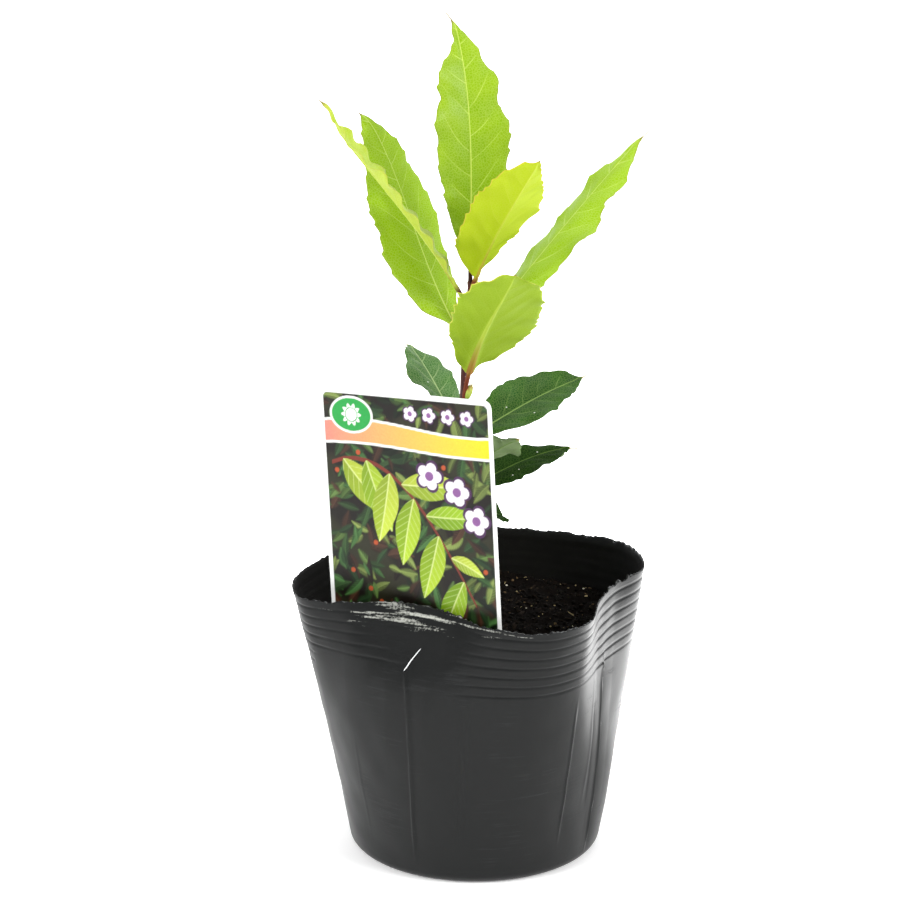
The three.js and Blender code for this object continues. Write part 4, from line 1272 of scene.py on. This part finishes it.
class Picture:
    """A picture in ink on a fine grid, in the card's millimetres. Later ink covers earlier ink."""

    STEP = 0.25  # between points of the grid

    def __init__(self, left, right, low, high):
        across = np.linspace(left, right, round((right - left) / self.STEP) + 1)
        up = np.linspace(low, high, round((high - low) / self.STEP) + 1)
        self.x, self.y = np.meshgrid(across, up)
        self.ink = np.zeros((*self.x.shape, 3))

    def lay(self, share, colour):
        """Covers a share of each point. The colour is one for all, or one for each point."""
        self.ink += share[..., None] * (np.asarray(colour)[..., :3] - self.ink)

    def lay_oval(self, centre, wide, high, colour, petals=0):
        """Prints an oval, or a blossom when it has petals."""
        x, y = (self.x - centre[0]) / wide, (self.y - centre[1]) / high
        size = 0.68 + 0.32 * np.abs(np.cos(np.arctan2(y, x) * petals / 2)) ** 0.7
        self.lay(smooth_step(-0.12, 0.12, (size - np.hypot(x, y)) * min(wide, high)), colour)

    def lay_leaf(self, base, angle, length, width, bend, lit, shaded, vein, blur=0.12):
        """Prints a leaf that is lit on one side of its rib and shaded on the other."""
        x, y = self.x - base[0], self.y - base[1]
        along = x * math.cos(angle) + y * math.sin(angle)
        u = np.clip(along / length, 0, 1)
        across = y * math.cos(angle) - x * math.sin(angle) - bend * length * u * u
        half = width / 2 * np.sin(math.pi * u ** 0.85) ** 0.9
        inside = smooth_step(-blur, blur, half - np.abs(across)) * (along > 0) * (along < length)
        side = smooth_step(-0.3, 0.3, across)[..., None]
        tone = np.array(shaded[:3]) * (1 - side) + np.array(lit[:3]) * side
        tone = tone * (0.75 + 0.4 * u)[..., None]
        self.lay(inside, tone)
        spread = (along - 1.1 * np.abs(across)) / (0.11 * length)
        side_veins = np.exp(-((spread - np.round(spread)) * 0.11 * length / 0.17) ** 2)
        rib = np.exp(-(across / 0.2) ** 2)
        self.lay(inside * np.maximum(0.35 * side_veins, 0.85 * rib), vein)


def paint_thicket(picture, edges):
    """Crowded leaves out of focus in the dark, with a few red berries."""
    draw = np.random.default_rng(52)
    left, right, low, high = edges
    place = np.stack([picture.x, picture.y], -1)
    gloom = smooth_step(-1, 1, unevenness(place, 12, 51))[..., None]
    picture.lay(np.ones_like(picture.x),
                np.array(linear("#16110D")[:3]) * (1 - gloom) + gloom * linear("#2A2A1A")[:3])
    leaves, berries = 430, 12
    greens = ["#34502A", "#46703A", "#2C4828", "#5C7A3C", "#7C8E48", "#4A3022", "#1A2616",
              "#241812"]
    for _ in range(leaves):
        base = (draw.uniform(left - 3, right + 3), draw.uniform(low, high))
        length = draw.uniform(3.5, 9)
        lit = np.array(linear(draw.choice(greens))) * draw.uniform(0.5, 1.1)
        picture.lay_leaf(base, draw.uniform(0, TURN), length, length * draw.uniform(0.25, 0.42),
                         draw.uniform(-0.3, 0.3), lit, lit * 0.45, lit * 1.3,
                         draw.uniform(0.25, 0.7))
    for _ in range(berries):
        centre = (draw.uniform(left + 2, right - 2), draw.uniform(low + 15, high - 2))
        picture.lay_oval(centre, 0.75, 0.75, linear("#B4502A"))


def paint_garland(picture, edges):
    """A branch of bright leaves that swings from the upper left to the lower right."""
    draw = np.random.default_rng(53)
    left, right, _, high = edges
    leaves, shortest = 12, 8
    t = np.linspace(0, 1, leaves + 1)
    branch = np.stack([left + 2 + 47 * t, high - 5 - 39 * t ** 1.4 + 10 * np.sin(math.pi * t)], -1)
    off_branch = np.abs(np.interp(picture.x, branch[:, 0], branch[:, 1]) - picture.y)
    on_branch = (picture.x > branch[0, 0]) & (picture.x < branch[-1, 0])
    picture.lay(smooth_step(0.75, 0.45, off_branch) * on_branch, linear("#7A3226"))
    shades = ["#98BE28", "#AAC832", "#86B022", "#BCCE44"]
    for i in range(leaves):
        ahead = branch[i + 1] - branch[i]
        angle = math.atan2(ahead[1], ahead[0]) + (0.85, -0.95)[i % 2] * draw.uniform(0.85, 1.15)
        reach_up = (high - 1 - branch[i][1]) / max(0.05, math.sin(angle) + 0.2)
        reach_right = (right - 1 - branch[i][0]) / max(0.05, math.cos(angle) + 0.2)
        length = min(23 - 0.3 * i, reach_up, reach_right)
        if length < shortest:
            continue  # there is no room for a leaf here
        lit = np.array(linear(draw.choice(shades)))
        picture.lay_leaf(branch[i], angle, length, length * 0.4, draw.uniform(-0.12, 0.12), lit,
                         lit * (0.62, 0.7, 0.5, 1), linear("#E4EEA0"))


def paint_band(picture, edges):
    """A warm band with white edges that waves across the print."""
    left, right, _, high = edges
    through = (picture.x - left) / (right - left)
    wave = 1.3 * np.sin(through * TURN * 0.8 + 0.4)
    off_band = np.abs(picture.y - high + 12 - wave * 0.8) - 2.9 - 0.2 * wave
    picture.lay(smooth_step(0.85, 0.65, off_band), WHITE_INK)
    warm = through[..., None]
    picture.lay(smooth_step(0.1, -0.1, off_band),
                np.array(linear("#E98A7C")[:3]) * (1 - warm) + warm * linear("#E3D81E")[:3])


def paint_blossoms(picture):
    """Plum-edged white blossoms: a large group on the right and a small row at the top."""
    large, small = 5, 2.7
    for centre, size in [((7.5, 122), large), ((16.5, 118), large), ((22.6, 110), large),
                         ((2, 140), small), ((8.3, 140), small), ((14.6, 140), small),
                         ((20.9, 140), small)]:
        picture.lay_oval(centre, size, size, linear("#4A2A52"), 5)
        picture.lay_oval(centre, size * 0.82, size * 0.82, linear("#F4ECF4"), 5)
        picture.lay_oval(centre, size * 0.28, size * 0.28, linear("#8A5A94"))


def paint_badge(picture, centre):
    """A green oval badge with the usual sign for sun."""
    picture.lay_oval(centre, 7.4, 5.6, WHITE_INK)
    picture.lay_oval(centre, 6.7, 4.9, linear("#2AA048"))
    x, y = picture.x - centre[0], picture.y - centre[1]
    rays = np.cos(np.arctan2(y, x) * 10) - 2 * (np.hypot(x, y) - 2.9)
    picture.lay(smooth_step(-0.3, 0.3, rays) * (np.hypot(x, y) > 2.2), WHITE_INK)
    picture.lay_oval(centre, 1.9, 1.9, WHITE_INK)


def round_off(picture, edges, colour, radius=1.8):
    """Covers the upper corners, so that they are round."""
    left, right, _, high = edges
    past = np.maximum(0, np.abs(picture.x - (left + right) / 2) - (right - left) / 2 + radius)
    above = np.maximum(0, picture.y - high + radius)
    picture.lay(smooth_step(-0.1, 0.1, np.hypot(past, above) - radius), colour)


def label_picture(settings):
    """The card's print, on its own thin layer: a leafy garland over a dim thicket, blossoms, a
    warm band and a badge."""
    half, top = settings.width / MM / 2, settings.top / MM
    # A white margin of card is left round the print, which starts below the soil.
    edges = -half + 1.4, half - 1.0, settings.shoulder / MM + 4, top - 1.4
    left, right, low, high = edges
    picture = Picture(*edges)
    paint_thicket(picture, edges)
    paint_garland(picture, (left, right, low, high - 16))  # all of it below the band
    paint_band(picture, edges)
    paint_blossoms(picture)
    paint_badge(picture, (left + 9.5, high - 6.2))
    round_off(picture, edges, settings.card)

    rows, columns = picture.x.shape
    face = np.full(rows * columns, settings.thickness / MM / 2 + 0.03)
    points = label_place(np.column_stack([picture.x.ravel(), picture.y.ravel(), face]))
    ink = np.column_stack([picture.ink.reshape(-1, 3), np.ones(rows * columns)])
    return points, grid_faces(rows, columns), {"ink": ink}


# ---------------------------------------------------------------- studio

LIT_POINT = Vector((0, 0, 0.1))  # in metres, where the softboxes aim
LOOKING_DOWN = 15.9  # degrees by which the camera looks down


def sweep_mesh(settings):
    """Background paper: a floor that curves up into a wall behind."""
    half, back = settings.floor_size / MM / 2, settings.floor_size / MM * 0.36
    bend, columns = 500, 9
    arc = np.linspace(0, math.pi / 2, 24)
    profile = [(-half, 0), (0, 0), (back - bend, 0)]
    profile += [(back - bend + bend * math.sin(a), bend - bend * math.cos(a)) for a in arc[1:]]
    profile.append((back, half * 1.6))
    rows = [[(x, y, z) for x in np.linspace(-half, half, columns)] for y, z in profile]
    return np.array(rows).reshape(-1, 3), grid_faces(len(profile), columns)


def studio_air(settings):
    """The room round the studio: dim as a light, and white where the camera looks past the
    paper."""
    world = bpy.data.worlds.new("studio_air")
    world.use_nodes = True
    tree = world.node_tree
    tree.nodes.clear()
    seen = add_node(tree, "LightPath").outputs["Is Camera Ray"]
    strength = add_node(tree, "MapRange", seen, 0.0, 1.0, settings.sky, 1.0)
    room = add_node(tree, "Background", (1, 1, 1, 1), strength)
    add_node(tree, "OutputWorld", room)
    return world


def add_softbox(name, place, width, power, mirrored=True):
    """A square studio light that faces the plant, and may show in what mirrors it."""
    lamp = bpy.data.lights.new(name, "AREA")
    lamp.shape = "SQUARE"
    lamp.size = width
    lamp.energy = power
    box = bpy.data.objects.new(name, lamp)
    box.location = place
    box.visible_glossy = mirrored
    box.rotation_euler = (LIT_POINT - Vector(place)).to_track_quat("-Z", "Y").to_euler()
    bpy.context.scene.collection.objects.link(box)


def add_camera():
    """The camera: almost 90 cm in front, looking down a little, through a long lens."""
    lens = bpy.data.cameras.new("camera")
    lens.sensor_width = 36
    lens.lens = 120.36
    lens.clip_end = 20
    camera = bpy.data.objects.new("camera", lens)
    camera.location = (-0.0075, -0.85516, 0.3661)
    camera.rotation_euler = (math.radians(90 - LOOKING_DOWN), 0, 0)
    bpy.context.scene.collection.objects.link(camera)
    bpy.context.scene.camera = camera


# ---------------------------------------------------------------- settings

def length(name, description, default):
    """A length that a user can change, given in millimetres."""
    return FloatProperty(name=name, description=description, default=default * MM, unit="LENGTH")


def colour(name, description, code):
    """A colour that a user can change."""
    return FloatVectorProperty(name=name, description=description, subtype="COLOR", size=3,
                               default=linear(code)[:3], min=0, max=1)


class LAUREL_PG_pot(bpy.types.PropertyGroup):
    """The pot's sizes and colour."""

    height: length("Height", "Height of the pot's wall", 82)
    rim_radius: length("Rim radius", "Radius of the rim before it is squeezed", 52.5)
    base_radius: length("Base radius", "Radius of the base", 37.5)
    wall: length("Wall", "Thickness of the wall below the rim", 0.8)
    floor: length("Floor", "Thickness of the base", 1.2)
    plastic: colour("Plastic", "Colour of the polyethylene", "#1A1B1B")


class LAUREL_PG_soil(bpy.types.PropertyGroup):
    """The soil's level, crumbs and colour."""

    level: length("Level", "Height of the soil at the wall", 67.5)
    mound: length("Mound", "How much higher the soil is round the stem", 1.5)
    crumbs: IntProperty(name="Crumbs", description="How many loose crumbs lie on the soil",
                        default=3200, min=0)
    peat: colour("Peat", "Darkest colour of the mix", "#090706")


class LAUREL_PG_stem(bpy.types.PropertyGroup):
    """The stem's colour."""

    bark: colour("Bark", "Main colour of the bark", "#3A1A18")


class LAUREL_PG_label(bpy.types.PropertyGroup):
    """The label's sizes and colour."""

    width: length("Width", "Width of the card", 58)
    top: length("Top", "Height of the card's top edge above the pot's underside", 145.8)
    shoulder: length("Shoulder", "Height below which the card narrows to its point", 62)
    tip: length("Tip", "Height of the card's point in the soil", 22)
    thickness: length("Thickness", "Thickness of the card", 0.7)
    card: colour("Card", "Colour of the plastic", "#F1F2EF")


class LAUREL_PG_studio(bpy.types.PropertyGroup):
    """The floor and the lights."""

    floor_size: length("Floor size", "Width of the background paper", 5000)
    paper: colour("Paper", "Colour of the background paper", "#F4F4F4")
    floor_glow: FloatProperty(name="Floor glow", description="How brightly the paper glows "
                              "near the pot", default=0.25, min=0)
    wall_glow: FloatProperty(name="Wall glow", description="How brightly it glows further off",
                             default=0.65, min=0)
    side_glow: FloatProperty(name="Side glow", description="How much more brightly it glows on "
                             "the right", default=3.4, min=0)
    sky: FloatProperty(name="Fill light", description="Strength of the light from all round",
                       default=0.3, min=0)
    key: FloatProperty(name="Main light", description="Power of the softbox in front, on the left",
                       default=20.0, min=0, unit="POWER")
    side: FloatProperty(name="Side light", description="Power of the softbox in front, on the "
                        "right", default=22.0, min=0, unit="POWER")
    top: FloatProperty(name="Top light", description="Power of the softbox overhead",
                       default=9.0, min=0, unit="POWER")


# ---------------------------------------------------------------- operators

class LAUREL_OT_studio(bpy.types.Operator):
    """Add the background paper, the soft lights and the camera"""

    bl_idname = "laurel.add_studio"
    bl_label = "Studio"

    def execute(self, context):
        settings = context.scene.laurel_studio
        sweep = mesh_piece("studio_sweep", *sweep_mesh(settings))
        sweep.data.materials.append(studio_paper(settings))
        add_softbox("key_softbox", (-1.15, -0.8, 0.85), 0.7, settings.key, mirrored=False)
        add_softbox("side_softbox", (1.2, -0.75, 0.95), 0.7, settings.side)
        add_softbox("top_softbox", (0.0, 0.15, 1.5), 0.9, settings.top)
        context.scene.world = studio_air(settings)
        context.scene.view_settings.view_transform = "Standard"
        add_camera()
        return {"FINISHED"}


class LAUREL_OT_pot(bpy.types.Operator):
    """Add the squeezed nursery pot with its whitened crease"""

    bl_idname = "laurel.add_pot"
    bl_label = "Pot"

    def execute(self, context):
        settings = context.scene.laurel_pot
        pot = mesh_piece("nursery_pot", *pot_mesh(settings))
        drill_base(pot)
        hand_over(pot, polyethylene(settings), "pot", "pot")
        mark = mesh_piece("stress_mark", *stress_mark_mesh(settings))
        hand_over(mark, stretched_polyethylene(), "pot")
        return {"FINISHED"}


class LAUREL_OT_soil(bpy.types.Operator):
    """Add the soil and the loose crumbs on it"""

    bl_idname = "laurel.add_soil"
    bl_label = "Soil"

    def execute(self, context):
        pot, settings = context.scene.laurel_pot, context.scene.laurel_soil
        soil = mesh_piece("potting_soil", *soil_mesh(pot, settings))
        hand_over(soil, potting_mix(settings), "soil", "soil")
        crumbs = mesh_piece("soil_crumbs", *crumbs_mesh(pot, settings), smooth=False)
        hand_over(crumbs, crumbled_grit(), "soil")
        return {"FINISHED"}


class LAUREL_OT_stem(bpy.types.Operator):
    """Add the woody stem"""

    bl_idname = "laurel.add_stem"
    bl_label = "Stem"

    def execute(self, context):
        settings = context.scene.laurel_stem
        stem = mesh_piece("laurel_stem", *stem_mesh())
        hand_over(stem, young_bark(settings), "bark", "stem")
        return {"FINISHED"}


class LAUREL_OT_leaves(bpy.types.Operator):
    """Add the leaves, each with its stalk"""

    bl_idname = "laurel.add_leaves"
    bl_label = "Leaves"

    def execute(self, context):
        finishes = {kind: laurel_leaf(kind) for kind in LEAF_LOOKS}
        for i, leaf in enumerate(LEAVES):
            piece = mesh_piece("laurel_" + leaf.name, *leaf_mesh(leaf, 100 + 10 * i))
            slot = "mature_leaf" if leaf.kind in OLD_KINDS else "young_leaf"
            hand_over(piece, finishes[leaf.kind], slot, leaf.name)
        return {"FINISHED"}


class LAUREL_OT_buds(bpy.types.Operator):
    """Add the buds"""

    bl_idname = "laurel.add_buds"
    bl_label = "Buds"

    def execute(self, context):
        finish = bud_scale()
        for name, *form in BUDS:
            hand_over(mesh_piece("laurel_" + name, *bud_mesh(*form)), finish, "bud", name)
        return {"FINISHED"}


class LAUREL_OT_label(bpy.types.Operator):
    """Add the plastic plant label and its print"""

    bl_idname = "laurel.add_label"
    bl_label = "Plant label"

    def execute(self, context):
        settings = context.scene.laurel_label
        card = mesh_piece("label_card", *card_mesh(settings), smooth=False)
        hand_over(card, label_card(settings), "label", "plant_label")
        ink = mesh_piece("label_print", *label_picture(settings))
        hand_over(ink, offset_ink(), "label")
        return {"FINISHED"}


class LAUREL_PT_pieces(bpy.types.Panel):
    """Lists the pieces of the potted laurel and their settings"""

    bl_label = "Potted laurel"
    bl_idname = "LAUREL_PT_pieces"
    bl_space_type = "VIEW_3D"
    bl_region_type = "UI"
    bl_category = "Laurel"

    def draw(self, context):
        for operator in OPERATORS:
            self.layout.operator(operator.bl_idname)
        for name, group in SETTINGS.items():
            box = self.layout.box()
            for prop in group.__annotations__:
                box.prop(getattr(context.scene, name), prop)


SETTINGS = {
    "laurel_pot": LAUREL_PG_pot, "laurel_soil": LAUREL_PG_soil, "laurel_stem": LAUREL_PG_stem,
    "laurel_label": LAUREL_PG_label, "laurel_studio": LAUREL_PG_studio,
}
OPERATORS = [
    LAUREL_OT_studio, LAUREL_OT_pot, LAUREL_OT_soil, LAUREL_OT_stem, LAUREL_OT_leaves,
    LAUREL_OT_buds, LAUREL_OT_label,
]


def register():
    """Registers the settings, the operators and the panel."""
    for group in (*SETTINGS.values(), *OPERATORS, LAUREL_PT_pieces):
        bpy.utils.register_class(group)
    for name, group in SETTINGS.items():
        setattr(bpy.types.Scene, name, PointerProperty(type=group))


def unregister():
    """Takes them all out again."""
    for name in SETTINGS:
        delattr(bpy.types.Scene, name)
    for group in (LAUREL_PT_pieces, *reversed(OPERATORS), *SETTINGS.values()):
        bpy.utils.unregister_class(group)


def main():
    """Builds every piece."""
    register()
    for operator in OPERATORS:
        family, action = operator.bl_idname.split(".")
        getattr(getattr(bpy.ops, family), action)()


if __name__ == "__main__":
    main()
